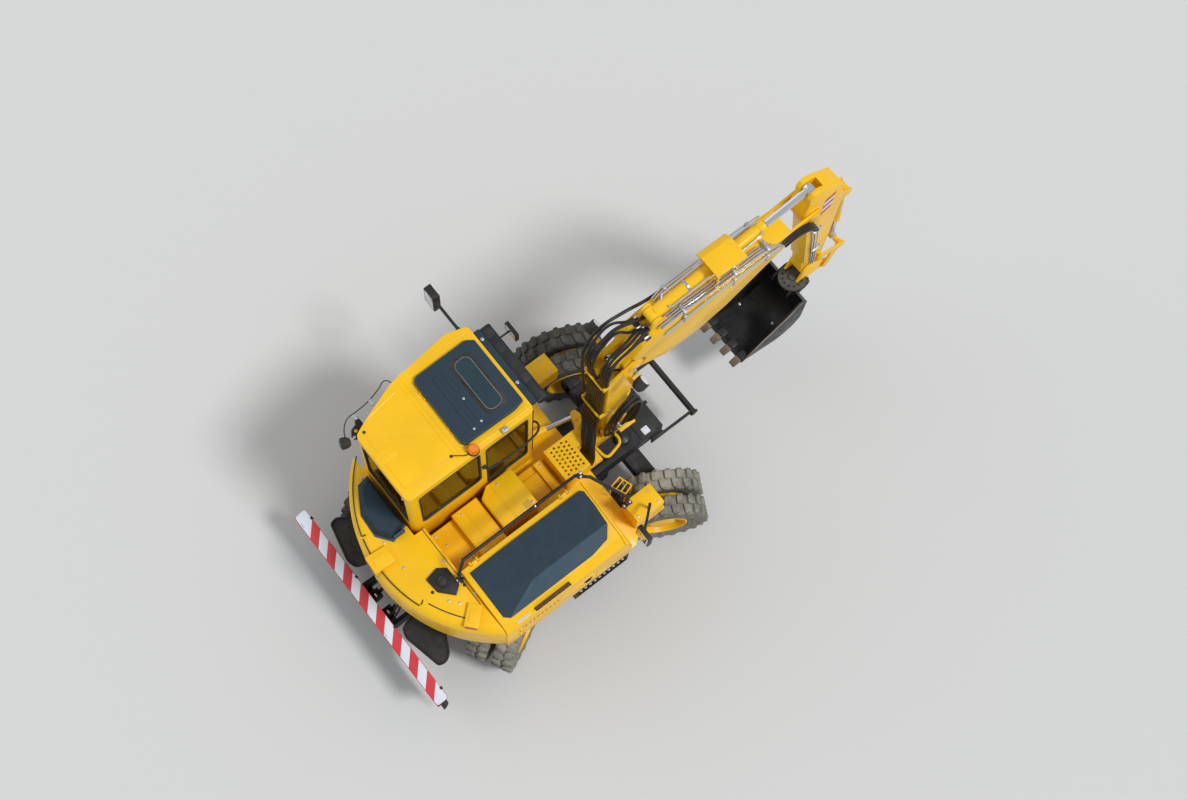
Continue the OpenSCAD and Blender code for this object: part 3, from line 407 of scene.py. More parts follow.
def weave(name, colour, thread):
    """Woven seat cover."""
    tree, surface = shader(name, colour, 0.9)
    wave = tree.nodes.new("ShaderNodeTexWave")
    wave.inputs["Scale"].default_value = 90.0
    wave.inputs["Distortion"].default_value = 1.5
    place = tree.nodes.new("ShaderNodeTexCoord")
    tree.links.new(place.outputs["Object"], wave.inputs["Vector"])
    tree.links.new(blended(tree, wave.outputs["Fac"], colour, thread), surface.inputs["Base Color"])
    roughened(tree, surface, 320, 0.3)
    surface.inputs["Sheen Weight"].default_value = 0.3


def colour_property(label, about, default):
    return bpy.props.FloatVectorProperty(name=label, description=about, subtype="COLOR", size=3, min=0, max=1,
                                         default=default)


def length_property(label, about, default):
    return bpy.props.FloatProperty(name=label, description=about, unit="LENGTH", min=0.0005, default=default)


class ExcavatorColours(bpy.types.PropertyGroup):
    yellow: colour_property("Yellow", "Paint of the body, the cab and the boom", (0.95, 0.54, 0.004))
    slate: colour_property("Slate", "Plastic of the roof hatch, the hood cover and the caps", (0.032, 0.052, 0.070))
    black: colour_property("Black", "Paint of the undercarriage and the bucket", (0.014, 0.016, 0.019))
    stripe: colour_property("Stripe", "Red of the warning bands", (0.66, 0.045, 0.06))
    glass: colour_property("Glass", "Tint of the cab's windows", (0.42, 0.44, 0.24))


class ExcavatorSizes(bpy.types.PropertyGroup):
    bolt: length_property("Bolt", "Radius of a small bolt's head", 0.012)
    hose: length_property("Hose", "Radius of a boom hose", 0.0145)
    pipe: length_property("Pipe", "Radius of a steel pipe on the boom", 0.010)
    seam: length_property("Seam", "Width of the counterweight's seam", 0.012)


def sizes():
    return bpy.context.scene.excavator_sizes


def darker(colour, share):
    return tuple(c * share for c in colour)


class EXCAVATOR_OT_finishes(bpy.types.Operator):
    """Mixes the paints, plastics, rubbers and metals"""
    bl_idname = "excavator.finishes"
    bl_label = "Finishes"

    def execute(self, context):
        chosen = context.scene.excavator_colours
        yellow, slate, black, stripe, glass = (
            tuple(getattr(chosen, name)) for name in ("yellow", "slate", "black", "stripe", "glass"))
        paint("yellow", yellow, darker(yellow, 0.93), 0.40, 0.02, coat=0.12)
        paint("dusty yellow", darker(yellow, 0.9), darker(yellow, 0.75), 0.5, 0.30)
        paint("black", black, darker(black, 0.6), 0.42, 0.05)
        paint("dusty black", black, darker(black, 0.7), 0.55, 0.07, gloss=0.25)
        paint("slate", slate, darker(slate, 0.96), 0.75, 0.0, grain=(420, 0.2), gloss=0.12)
        # A lighter copy of the slate: painted highlight on the facets, rims and hems that face the light
        paint("slate painted highlight", darker(slate, 1.75), darker(slate, 1.6), 0.7, 0.0, grain=(420, 0.2), gloss=0.15)
        paint("tread", (0.055, 0.058, 0.06), (0.035, 0.037, 0.038), 0.85, 0.45, grain=(120, 0.4),
              dust_colour=(0.24, 0.23, 0.19))
        # A lighter tread for the right-hand pair: dust, and painted light where the sun falls on that side
        paint("tread with dust and painted light", (0.13, 0.125, 0.105), (0.05, 0.05, 0.045), 0.9, 0.85, grain=(120, 0.4),
              dust_colour=(0.40, 0.385, 0.32))
        paint("hose", (0.016, 0.017, 0.019), (0.010, 0.010, 0.012), 0.40, 0.06, grain=(300, 0.15))
        paint("seal", (0.012, 0.012, 0.013), (0.02, 0.02, 0.02), 0.7, 0.1)
        paint("chrome", (0.78, 0.80, 0.83), (0.70, 0.72, 0.76), 0.12, 0.0, metallic=1.0, grain=(500, 0.01))
        paint("zinc", (0.62, 0.65, 0.67), (0.48, 0.50, 0.52), 0.34, 0.05, metallic=0.9, grain=(240, 0.08))
        paint("worn steel", (0.16, 0.115, 0.085), (0.30, 0.25, 0.20), 0.55, 0.25, metallic=0.5, grain=(90, 0.4))
        paint("cast iron", (0.06, 0.06, 0.06), (0.03, 0.03, 0.03), 0.7, 0.2, grain=(160, 0.5))
        paint("stripe red", stripe, darker(stripe, 0.85), 0.4, 0.05)
        paint("stripe white", (0.74, 0.80, 0.88), (0.68, 0.74, 0.82), 0.4, 0.03)
        paint("amber", (0.95, 0.22, 0.012), (0.75, 0.12, 0.008), 0.15, 0.0, coat=0.8)
        paint("red lens", (0.45, 0.012, 0.012), (0.30, 0.008, 0.008), 0.15, 0.0, coat=0.6)
        paint("brown mesh", (0.13, 0.075, 0.045), (0.09, 0.05, 0.03), 0.6, 0.3, grain=(300, 0.4))
        pane("window", glass, darker(glass, 0.9))
        pane("clear lens", (0.9, 0.92, 0.94), (0.85, 0.87, 0.9), 0.1)
        paint("teal glass", (0.004, 0.028, 0.042), (0.008, 0.04, 0.055), 0.08, 0.02, coat=0.7, grain=(200, 0.0))
        weave("seat cover", (0.02, 0.021, 0.024), (0.045, 0.047, 0.05))
        return {"FINISHED"}


# The solids of the frame with soft edges: the finish, the edge's radius and the nodes
DRESSED = {
    "yellow": {
        0.004: ["housing", "hood", "side_door", "cab_door", "cab_shell", "deck_boxes", "upper_frame",
                "lower_boom", "upper_boom", "arm", "swing_post", "rocker", "bucket_link", "coupler", "lamp_boxes"],
        0.008: ["counterweight"],
        0.002: ["lift_barrel", "adjust_barrel", "arm_barrel", "bucket_barrel", "swing_barrel", "blade_barrels"],
        0.003: ["rims_" + corner for corner in CORNERS],
    },
    "dusty black": {
        0.004: ["chassis_frame", "front_axle", "rear_axle", "front_bar", "side_boxes", "rear_guards", "blade"]
        + ["knuckle_" + corner for corner in CORNERS],
    },
    "black": {0.002: ["bucket", "handrail", "mirrors", "console"]},
    "chrome": {0.0015: ["lift_rod", "adjust_rod", "arm_rod", "bucket_rod", "swing_rod", "blade_rods"]},
    "cast iron": {0.01: ["engine"]},
}


def own_copy(node):
    """A free copy of a node of the frame, without the frame's notes on it."""
    copy = twin(NODES[node])
    copy.parent = None
    for key in list(copy.keys()):
        del copy[key]
    return copy


def dressed(copy, node, finish, body, slot):
    """Paints a copy of a node and hands it over in that node's place."""
    coated(copy, finish).data.transform(Matrix.Translation(-SLEW))
    handed_over(copy, "painted_" + node, body, slot, node)


class EXCAVATOR_OT_solids(bpy.types.Operator):
    """Copies the frame's solids, rounds their edges and paints them"""
    bl_idname = "excavator.solids"
    bl_label = "Painted solids"

    def execute(self, context):
        body_of = {n: b for b, nodes in frame["record"]["behaviour"]["bodies"].items() for n in nodes}
        slot_of = {s["node"]: s["material_slot"] for s in frame["record"]["subparts"]}
        for finish, edges in DRESSED.items():
            for edge, nodes in edges.items():
                for node in nodes:
                    copy = pick(own_copy(node))
                    bpy.ops.object.mode_set(mode="EDIT")
                    bpy.ops.mesh.select_all(action="SELECT")
                    bpy.ops.mesh.remove_doubles(threshold=0.00005)
                    bpy.ops.mesh.dissolve_limited(angle_limit=radians(0.6))
                    bpy.ops.object.mode_set(mode="OBJECT")
                    dressed(softened(copy, edge), node, finish, body_of[node], slot_of[node])
        return {"FINISHED"}


# Wheels

LUGS, WHEEL_NUTS = 22, 10


def at_corner(piece, corner):
    """Moves a piece drawn for the left side about its steering pin to one corner."""
    x, side, turn = CORNERS[corner]
    return moved(piece if side > 0 else flipped(piece), (x, side * KINGPIN_Y, AXLE_Z), turn)


class EXCAVATOR_OT_tyres(bpy.types.Operator):
    """Models one tyre with two staggered rows of blocks, and sets twins on every hub"""
    bl_idname = "excavator.tyres"
    bl_label = "Tyres"

    def execute(self, context):
        half = [(0.2625, -0.088), (0.275, -0.1), (0.33, -0.111), (0.4, -0.1125), (0.44, -0.108), (0.458, -0.092),
                (0.463, -0.04)]
        carcass = spun("tread", half + [(0.464, 0)] + [(radius, -y) for radius, y in reversed(half)])
        top = plate("tread", [(-0.04, 0.006), (0.014, 0.002), (0.046, 0.024), (0.04, 0.1), (-0.008, 0.1115),
                              (-0.034, 0.08)], 0.452, 0.4885, edge=0.005)
        shoulder = plate("tread", [(-0.012, 0.4885), (0.036, 0.4885), (0.034, 0.418), (-0.006, 0.418)], 0.085, 0.1125,
                         "Y", 0.005)
        lug, lugs = joined([top, shoulder]), []
        for i in range(LUGS):
            lugs.append(moved(twin(lug), (0, 0, 0), 360 / LUGS * i, "Y"))
            lugs.append(moved(flipped(twin(lug)), (0, 0, 0), 360 / LUGS * (i + 0.5), "Y"))
        bpy.data.objects.remove(lug)
        tyre = joined([carcass] + lugs)
        for corner, (x, side, turn) in CORNERS.items():
            # The two treads of a pair are turned apart a little
            pair = [at_corner(moved(twin(tyre), (0, TWIN_OFFSET + s * TWIN_PITCH / 2, 0), 13 * s, "Y"), corner)
                    for s in (-1, 1)]
            # The right-hand pair takes the lighter tread, painted light for the sunlit side, and the left-hand pair the
            # plain one
            piece = coated(joined(pair), "tread" if side > 0 else "tread with dust and painted light")
            handed_over(piece, "treads_" + corner, "wheels_" + corner, "tyre", "tyres_" + corner)
        bpy.data.objects.remove(tyre)
        return {"FINISHED"}


class EXCAVATOR_OT_wheel_nuts(bpy.types.Operator):
    """Sets ten nuts and a hub cap on each outer wheel"""
    bl_idname = "excavator.wheel_nuts"
    bl_label = "Wheel nuts"

    def execute(self, context):
        face = TWIN_OFFSET + 0.030
        nut = joined([disc("zinc", (0, face, 0), 0.022, 0.017, 6, 0.002, "Y"),
                      disc("zinc", (0, face, 0), 0.006, 0.021, 20, 0.001, "Y")])
        nuts = repeated(nut, [(x, 0, z) for x, z in circle(0.118, WHEEL_NUTS)])
        cap = joined([disc("yellow", (0, face + 0.04, 0), 0.052, 0.074, 40, 0.006, "Y"),
                      disc("yellow", (0, face + 0.09, 0), 0.012, 0.03, 6, 0.002, "Y")])
        for corner in CORNERS:
            handed_over([at_corner(twin(nuts), corner), at_corner(twin(cap), corner)], "nuts_" + corner,
                        "wheels_" + corner, "yellow")
        bpy.data.objects.remove(nuts)
        bpy.data.objects.remove(cap)
        return {"FINISHED"}


# Blade

class EXCAVATOR_OT_blade_band(bpy.types.Operator):
    """Lays the striped band on the blade's upper lip, with its clips"""
    bl_idname = "excavator.blade_band"
    bl_label = "Blade band"

    def execute(self, context):
        # The band's rear and front edges in X and Z; it rests on the blade's top
        rear, front, half = Vector((-1.754, 0.7530)), Vector((-1.616, 0.7990)), 1.236
        slope = atan2(front.y - rear.y, front.x - rear.x)
        width = (front - rear).length

        def laid(piece):
            return moved(piece, (rear.x, 0, rear.y), -180 * slope / pi, "Y")

        parts = [laid(pad("stripe white", (0.004, -half), (width - 0.002, half), 0.03, 0, 0.004, "Z", 0.001)),
                 laid(pad("stripe red", (-0.004, -half - 0.003), (width + 0.002, half + 0.003), 0.03, -0.004, 0.001,
                          "Z", 0.001))]
        pitch, lean, near, far = 2 * half / 17.4, -0.072, 0.004, width - 0.002
        for i in range(8):
            y = half - pitch * (1.45 + 2 * i)
            parts.append(laid(plate("stripe red", [(near, y + lean), (far, y - lean), (far, y - lean - pitch),
                                                   (near, y + lean - pitch)], 0.003, 0.0055, edge=0.0005)))
        for y in (half - 0.12, 0.33, -0.33, -half + 0.12):
            clip = block("black", (-0.014, y - 0.016, -0.03), (0.014, y + 0.016, 0.006), 0.003)
            parts += [moved(clip, (front.x, 0, front.y)),
                      block("black", (-1.738, y - 0.03, 0.722), (-1.7, y + 0.03, 0.764), 0.003)]
        handed_over(parts, "blade_band", "blade", "frame_black")
        return {"FINISHED"}


# Body

def bolt_heads(places, radius=None, finish="zinc"):
    """Hexagon heads on washers, standing at these places."""
    radius = radius or sizes().bolt
    head = joined([disc(finish, (0, 0, 0), radius * 0.9, radius * 0.8, 6, radius * 0.1),
                   disc(finish, (0, 0, 0), radius * 0.22, radius * 1.25, 18, radius * 0.05)])
    return repeated(head, places)


class EXCAVATOR_OT_tail_trim(bpy.types.Operator):
    """Adds the counterweight's seam, bolts and plugs"""
    bl_idname = "excavator.tail_trim"
    bl_label = "Counterweight trim"

    def execute(self, context):
        z, half = TAIL_Z + 0.0005, sizes().seam / 2
        parts = []
        for radius, first, last in ((1.452, 131, 164), (1.447, 165, 200), (1.385, 202.5, 224)):
            turns = [radians(first + (last - first) * i / 24) for i in range(25)]
            strip = [((radius + half) * cos(a), (radius + half) * sin(a)) for a in turns]
            strip += [((radius - half) * cos(a), (radius - half) * sin(a)) for a in reversed(turns)]
            parts.append(plate("seal", strip, z - 0.002, z + 0.0015, edge=0))
        for a, b in (((-1.394, 0.402), (-1.352, 0.392)), ((-1.298, -0.467), (-1.342, -0.497))):
            parts.append(bar("seal", (*a, z), (*b, z), half, 8))
        bolts = [(-0.93, 0.93), (-1.05, 0.88), (-1.24, 0.52), (-0.915, 0.2), (-1.265, 0.22), (-1.26, -0.1),
                 (-0.915, -0.28), (-1.11, -0.63), (-1.04, -0.71), (-0.865, -0.73)]
        holes = [(-1.267, 0.446), (-1.183, -0.467), (-0.894, -0.56), (-0.895, -0.598)]
        parts += [bolt_heads([(x, y, z) for x, y in bolts]),
                  repeated(disc("seal", (0, 0, 0), 0.003, 0.017, 24, 0.001), [(x, y, z) for x, y in holes]),
                  # Seam along the step to the deck
                  block("seal", (-0.892, -0.86, z - 0.002), (-0.884, 0.1, z + 0.001), 0)]
        handed_over(parts, "tail_trim", "upper", "yellow")
        return {"FINISHED"}


class EXCAVATOR_OT_caps(bpy.types.Operator):
    """Models the air intake's hood and the exhaust plate on the tail"""
    bl_idname = "excavator.caps"
    bl_label = "Intake and exhaust"

    def execute(self, context):
        z = TAIL_Z
        low = z + 0.0004
        foot = [(-1.17, 0.175), (-1.285, 0.33), (-1.27, 0.56), (-1.18, 0.72), (-1.11, 0.83), (-1, 0.855),
                (-0.995, 0.24)]
        hood = plate("slate", foot, low, z + 0.12, edge=0.03, segments=4)
        for vertex in hood.data.vertices:
            if vertex.co.z > z + 0.09:
                vertex.co.x += (-1.1 - vertex.co.x) * 0.16
                vertex.co.y += (0.5 - vertex.co.y) * 0.12
        rim = [(x + (0.012 if x > -1.1 else -0.012), y + (0.012 if y > 0.5 else -0.012)) for x, y in foot]
        base = [(-1.16, -0.33), (-1.145, -0.5), (-1.02, -0.635), (-0.93, -0.565), (-0.925, -0.36), (-1.01, -0.3)]
        collar = spun("black", [(0.046, 0), (0.058, 0), (0.06, 0.022), (0.055, 0.026), (0.046, 0.022)], 36)
        # The rim and the lip at the intake's foot take the lighter slate, a painted highlight
        parts = [hood, plate("slate painted highlight", rim, low, z + 0.018, edge=0.006),
                 block("slate painted highlight", (-1.16, 0.17, z + 0.02), (-1.03, 0.2, z + 0.095), 0.012),
                 plate("black", base, low, z + 0.028, edge=0.01, segments=3),
                 moved(collar, (-1.04, -0.455, z + 0.026), 90, "X"),
                 disc("seal", (-1.04, -0.455, z + 0.02), 0.012, 0.047, 32),
                 bolt_heads([(-1.115, -0.36, z + 0.028), (-0.955, -0.545, z + 0.028)], 0.009, "black")]
        handed_over(parts, "tail_caps", "upper", "slate", "caps")
        return {"FINISHED"}


class EXCAVATOR_OT_rear_lamps(bpy.types.Operator):
    """Adds raised tops and lenses to the two rear lamps"""
    bl_idname = "excavator.rear_lamps"
    bl_label = "Rear lamps"

    def execute(self, context):
        parts = []
        for turn, near, far, half in ((176, 1.275, 1.512, 0.095), (221.6, 1.235, 1.47, 0.072)):
            low, high = (near + 0.06, -half * 0.55), (far - 0.045, half * 0.55)
            top = pad("yellow", low, high, 0.015, 1.803, 1.812, "Z", 0.004)
            lens = block("red lens", (far - 0.003, -half * 0.8, 1.63), (far + 0.006, half * 0.8, 1.775))
            parts += [moved(top, (0, 0, 0), turn), moved(lens, (0, 0, 0), turn)]
        handed_over(parts, "rear_lamp_trim", "upper", "yellow")
        return {"FINISHED"}


class EXCAVATOR_OT_hood_cover(bpy.types.Operator):
    """Models the slate cover on the hood with its sloping facets"""
    bl_idname = "excavator.hood_cover"
    bl_label = "Hood cover"

    def execute(self, context):
        # The cover is flat up to two crests, and falls outward and to the rear of them
        height, crest_x, crest_y = 0.036, -0.345, -0.975

        def drops(x, y):
            """How far the outer and the rear facet lie below the flat middle."""
            return (crest_y - y) * 0.133, (crest_x - x) * 0.053

        outline = [(-0.8, -0.562), (0.548, -0.57), (0.578, -0.6), (0.583, -0.76), (0.57, -0.99), (0.48, -1.1),
                   (0.27, -1.1395), (-0.74, -1.1395), (-0.795, -1.09)]
        thick = 0.034
        cover = pick(plate("slate", outline, 0, thick, edge=0))
        bpy.ops.object.mode_set(mode="EDIT")
        for point, normal in (((0, crest_y, 0), (0, 1, 0)), ((crest_x, 0, 0), (1, 0, 0)),
                              ((crest_x, crest_y, 0), (0.164, -0.411, 0))):
            bpy.ops.mesh.select_all(action="SELECT")
            bpy.ops.mesh.bisect(plane_co=point, plane_no=normal)
        bpy.ops.object.mode_set(mode="OBJECT")
        for vertex in cover.data.vertices:
            x, y, z = vertex.co
            rise = height - max(0, *drops(x, y)) if z > thick / 2 else 0.0005
            vertex.co.z = HOOD_TOP - HOOD_FALL * (HOOD_IN - y) + rise
        softened(cover, 0.005, 2, 3.5)
        # The outer facet takes the lighter slate, a painted highlight where it faces the light
        cover.data.materials.append(FINISHES["slate painted highlight"])
        for face in cover.data.polygons:
            outward, rearward = drops(face.center.x, face.center.y)
            if face.normal.z > 0.2 and outward > max(0.0005, rearward):
                face.material_index = 1
        handed_over(cover, "hood_shell", "hood", "slate", "hood_cover")
        return {"FINISHED"}


class EXCAVATOR_OT_side_trim(bpy.types.Operator):
    """Adds the vent, the blank plate, the handle and the bolts on the right side"""
    bl_idname = "excavator.side_trim"
    bl_label = "Right side trim"

    def execute(self, context):
        # The hood's upper outer slope runs from (-1.150, 1.790) to (-1.240, 1.690)
        slope = atan2(0.09, 0.10) * 180 / pi
        slat = block("brown mesh", (0, -0.05, 0.004), (0.006, 0.03, 0.012), 0.001)
        vent = [block("black", (-0.5, -0.06, 0), (-0.07, 0.04, 0.006), 0.003),
                block("brown mesh", (-0.49, -0.052, 0.004), (-0.08, 0.032, 0.008), 0.001),
                repeated(slat, [(-0.485 + 0.0212 * i, 0, 0) for i in range(20)]),
                block("stripe white", (-0.72, -0.04, 0), (-0.56, 0.03, 0.003), 0.001)]
        handed_over([moved(part, (0, -1.196, 1.741), -slope, "X") for part in vent], "hood_vent", "hood", "yellow")
        door = [pad("black", (0.1, 1.34), (0.2, 1.4), 0.02, -1.2445, -1.239, "Y", 0.002),
                block("black", (0.12, -1.256, 1.358), (0.18, -1.243, 1.374), 0.003)]
        door += [disc("zinc", (x, -1.239, z), -0.008, 0.012, 6, 0.001, "Y") for x in (-0.66, 0.22) for z in (1.2, 1.53)]
        handed_over(door, "side_door_latch", "side_door", "yellow")
        return {"FINISHED"}


# Cab

class EXCAVATOR_OT_roof(bpy.types.Operator):
    """Presses the roof's lines and models the slate hatch with its long window"""
    bl_idname = "excavator.roof"
    bl_label = "Roof"

    def execute(self, context):
        z = ROOF_Z
        lines = [[(-0.3, 0.15), (-0.3, 1.125)], [(-0.345, 0.15), (-0.345, 1.12)],
                 [(-0.42, 1.055), (-0.78, 1), (-0.885, 0.93), (-0.905, 0.235), (-0.4, 0.225)],
                 [(-0.3, 1.17), (0.47, 1.125)], [(-0.25, 0.165), (0.47, 0.165)]]
        parts = [bent_pipe("yellow", raised(line, "Z", z), 0.005, 0.04, 2) for line in lines]
        parts += [pad("yellow", (-0.955, 0.545), (-0.735, 0.685), 0.03, z - 0.002, z + 0.005, "Z", 0.002),
                  block("yellow", (-0.93, 0.6, z), (-0.8, 0.615, z + 0.009))]
        handed_over(parts, "roof_pressings", "upper", "yellow")
        fittings = [disc("seal", (-0.877, 0.914, z), 0.006, 0.016, 20, 0.002),
                    block("zinc", (0.135, 0.108, z - 0.002), (0.205, 0.155, z + 0.03)),
                    bolt_heads([(0.15, 0.14, z + 0.03)], 0.012)]
        handed_over(fittings, "roof_fittings", "upper", "yellow")

        outline = [(-0.2, 0.228), (0.36, 0.222), (0.48, 0.25), (0.48, 1.01), (0.405, 1.062), (-0.185, 1.052),
                   (-0.228, 1.01), (-0.235, 0.262)]
        hem = [(x * 0.985 + 0.002, 0.64 + (y - 0.64) * 0.975) for x, y in outline]
        window = rounded_outline((0.16, 0.35), (0.335, 0.93), 0.065, 6)
        hatch = [plate("slate", outline, z + 0.006, z + 0.05, edge=0.014, segments=4),
                 # The hatch's hem takes the lighter slate, a painted highlight along its edge
                 ring("slate painted highlight", hem, z + 0.049, 0.005, sides=2),
                 pad("seal", (0.12, 0.325), (0.372, 0.965), 0.055, z + 0.047, z + 0.0515, "Z", 0.002),
                 plate("teal glass", window, z + 0.048, z + 0.0535, edge=0.002),
                 ring("zinc", window, z + 0.0535, 0.0022, sides=1),
                 bolt_heads([(x, y, z + 0.051) for x, y in ((0.045, 0.6), (0.045, 0.325), (-0.055, 0.305))], 0.01),
                 block("seal", (-0.19, 0.26, z - 0.024), (0.442, 1.04, z + 0.007), 0.003)]
        for x, low, high in ((0.045, 0.69, 0.935), (0.045, 0.345, 0.585), (-0.055, 0.33, 0.94)):
            hatch.append(pad("slate", (x - 0.022, low), (x + 0.022, high), 0.02, z + 0.048, z + 0.056, "Z", 0.004))
        handed_over(hatch, "roof_hatch_shell", "roof_hatch", "slate", "roof_hatch")
        return {"FINISHED"}


class EXCAVATOR_OT_visor(bpy.types.Operator):
    """Models the strip over the windscreen with its four openings"""
    bl_idname = "excavator.visor"
    bl_label = "Visor"

    def execute(self, context):
        parts = [block("slate", (0.5205, 0.185, 2.8), (0.594, 1.095, 2.868), 0.012),
                 pad("black", (0.59, 0.182), (0.718, 1.098), 0.02, 2.786, 2.811, "Z", 0.004)]
        for y in (1.01, 0.825, 0.635, 0.445):
            parts += [pad("slate", (0.606, y - 0.052), (0.702, y + 0.052), 0.028, 2.806, 2.818, "Z", 0.004),
                      pad("seal", (0.618, y - 0.04), (0.69, y + 0.04), 0.022, 2.812, 2.8195, "Z", 0.002)]
        parts.append(bolt_heads([(0.556, 0.985, 2.867), (0.556, 0.44, 2.867)], 0.014))
        handed_over(parts, "visor_strip", "upper", "slate", "cab_visor")
        return {"FINISHED"}


class EXCAVATOR_OT_beacon(bpy.types.Operator):
    """Models the amber beacon, its foot and its lead"""
    bl_idname = "excavator.beacon"
    bl_label = "Beacon"

    def execute(self, context):
        z = ROOF_Z
        lamp = [spun("amber", [(0.0005, 0.118), (0.026, 0.115), (0.043, 0.1), (0.05, 0.07), (0.052, 0.03),
                               (0.0005, 0.03)], 40),
                spun("amber", [(0.0505, 0.045), (0.0535, 0.047), (0.0505, 0.05)], 40),
                spun("seal", [(0.0005, 0), (0.058, 0), (0.058, 0.018), (0.055, 0.03), (0.0005, 0.03)], 40)]
        lamp = [moved(part, (-0.18, 0.15, z), 90, "X") for part in lamp]
        handed_over(lamp, "beacon_lamp", "upper", "amber", "beacon")
        lead = [(-0.375, 0.231, z + 0.007), (-0.345, 0.215, z + 0.009), (-0.3, 0.18, z + 0.008),
                (-0.265, 0.158, z + 0.008), (-0.236, 0.15, z + 0.01)]
        handed_over([tube("hose", lead, 0.005), disc("seal", (-0.377, 0.232, z - 0.001), 0.013, 0.015, 20, 0.003)],
                    "beacon_lead", "upper", "frame_black")
        return {"FINISHED"}


class EXCAVATOR_OT_glass(bpy.types.Operator):
    """Tints the cab's windows and adds the door's panes and the rubber round them"""
    bl_idname = "excavator.glass"
    bl_label = "Cab glass"

    def execute(self, context):
        dressed(softened(own_copy("cab_glass"), 0.0015, 1), "cab_glass", "window", "upper", "glass")
        # Door panes and the rear corner's pane lie in slanted walls: start, turn, then low and high along the wall
        walls = [("door_panes", "cab_door", (-0.4, 1.15, 0), 6.92, [(0.145, 1.965, 0.765, 2.745),
                                                                    (0.205, 1.465, 0.765, 1.875)]),
                 ("corner_pane", "upper", (-0.78, 1.01, 0), 20.2, [(-0.03, 1.905, 0.345, 2.755)])]
        hem = 0.006
        for name, body, place, turn, spans in walls:
            panes, rubbers = [], []
            for a, low, b, high in spans:
                panes.append(pad("window", (a, low), (b, high), 0.03, -0.034, -0.027, "Y", 0.001))
                line = rounded_outline((a + hem, low + hem), (b - hem, high - hem), 0.03)
                rubbers.append(ring("seal", line, -0.022, 0.009, "Y"))
            handed_over([moved(piece, place, turn) for piece in panes], name, body, "glass")
            handed_over([moved(piece, place, turn) for piece in rubbers], name + "_rubber", body, "frame_black")
        rubbers = [ring("seal", rounded_outline(low, high, 0.05), at, 0.014, across) for at, across, low, high in (
            (0.126, "Y", (-0.06, 1.62), (0.43, 2.76)), (0.126, "Y", (-0.84, 1.9), (-0.14, 2.76)),
            (0.508, "X", (0.2, 1.5), (1.08, 2.77)), (-0.948, "X", (0.2, 1.9), (0.86, 2.76)))]
        handed_over(rubbers, "window_rubber", "upper", "frame_black")
        return {"FINISHED"}


class EXCAVATOR_OT_seat(bpy.types.Operator):
    """Models the driver's seat with crowned cushions, arm rests and levers"""
    bl_idname = "excavator.seat"
    bl_label = "Seat"

    def cushion(self, name, low, high, crown, turn=0, place=(0, 0, 0)):
        piece = pick(block("seat cover", low, high, 0))
        bpy.ops.object.mode_set(mode="EDIT")
        bpy.ops.mesh.subdivide(number_cuts=9)
        bpy.ops.object.mode_set(mode="OBJECT")
        low, high = Vector(low), Vector(high)
        middle, half = (low + high) / 2, (high - low) / 2
        for vertex in piece.data.vertices:
            u, v = (vertex.co.x - middle.x) / half.x, (vertex.co.y - middle.y) / half.y
            swell = (1 - u ** 4) * (1 - v ** 4)
            if vertex.co.z > middle.z:
                # Crowned, with two sewn grooves along it
                vertex.co.z += crown * (swell - 0.35) - 0.010 * max(0.0, 1 - abs(abs(v) - 0.55) * 14)
            drawn_in = 1 - 0.05 * (1 - swell)
            vertex.co.x = middle.x + (vertex.co.x - middle.x) * drawn_in
            vertex.co.y = middle.y + (vertex.co.y - middle.y) * drawn_in
        modified(piece, "SUBSURF", levels=1, render_levels=1)
        moved(softened(piece, 0, angle=60), place, turn, "Y")
        handed_over(piece, name, "upper", "seat")

    def execute(self, context):
        shell = block("black", (-0.06, 0.465, 0.02), (-0.01, 0.875, 0.66), 0.025)
        parts = [block("black", (-0.46, 0.48, 1.3705), (-0.1, 0.86, 1.43), 0.01),
                 block("seal", (-0.44, 0.5, 1.42), (-0.12, 0.84, 1.54), 0.03),
                 block("black", (-0.5, 0.455, 1.53), (-0.02, 0.885, 1.6), 0.03),
                 moved(shell, (-0.48, 0, 1.62), -10, "Y")]
        for y in (0.365, 0.905):
            middle = y + 0.035
            grip = spun("seal", [(0.0005, -0.012), (0.022, -0.01), (0.026, 0.01), (0.018, 0.035), (0.0005, 0.04)], 20)
            parts += [block("black", (-0.46, y, 1.6), (-0.4, y + 0.07, 1.79), 0.012),
                      block("seal", (-0.45, y - 0.005, 1.785), (-0.1, y + 0.075, 1.83), 0.018),
                      block("black", (-0.1, y - 0.01, 1.7), (0.03, y + 0.08, 1.8), 0.02),
                      bent_pipe("seal", [(-0.02, middle, 1.79), (-0.015, middle, 1.9), (-0.03, middle, 1.96)], 0.016),
                      moved(grip, (-0.03, middle, 1.965), 90, "X")]
        handed_over(parts, "seat_frame", "upper", "frame_black", "seat")
        self.cushion("seat_cushion", (-0.47, 0.46, 1.6), (0, 0.88, 1.7), 0.045)
        self.cushion("seat_back", (-0.02, 0.47, 0), (0.6, 0.87, 0.075), 0.04, -80, (-0.46, 0, 1.7))
        self.cushion("head_rest", (0, 0.55, 0), (0.2, 0.79, 0.075), 0.03, -80, (-0.585, 0, 2.315))
        return {"FINISHED"}


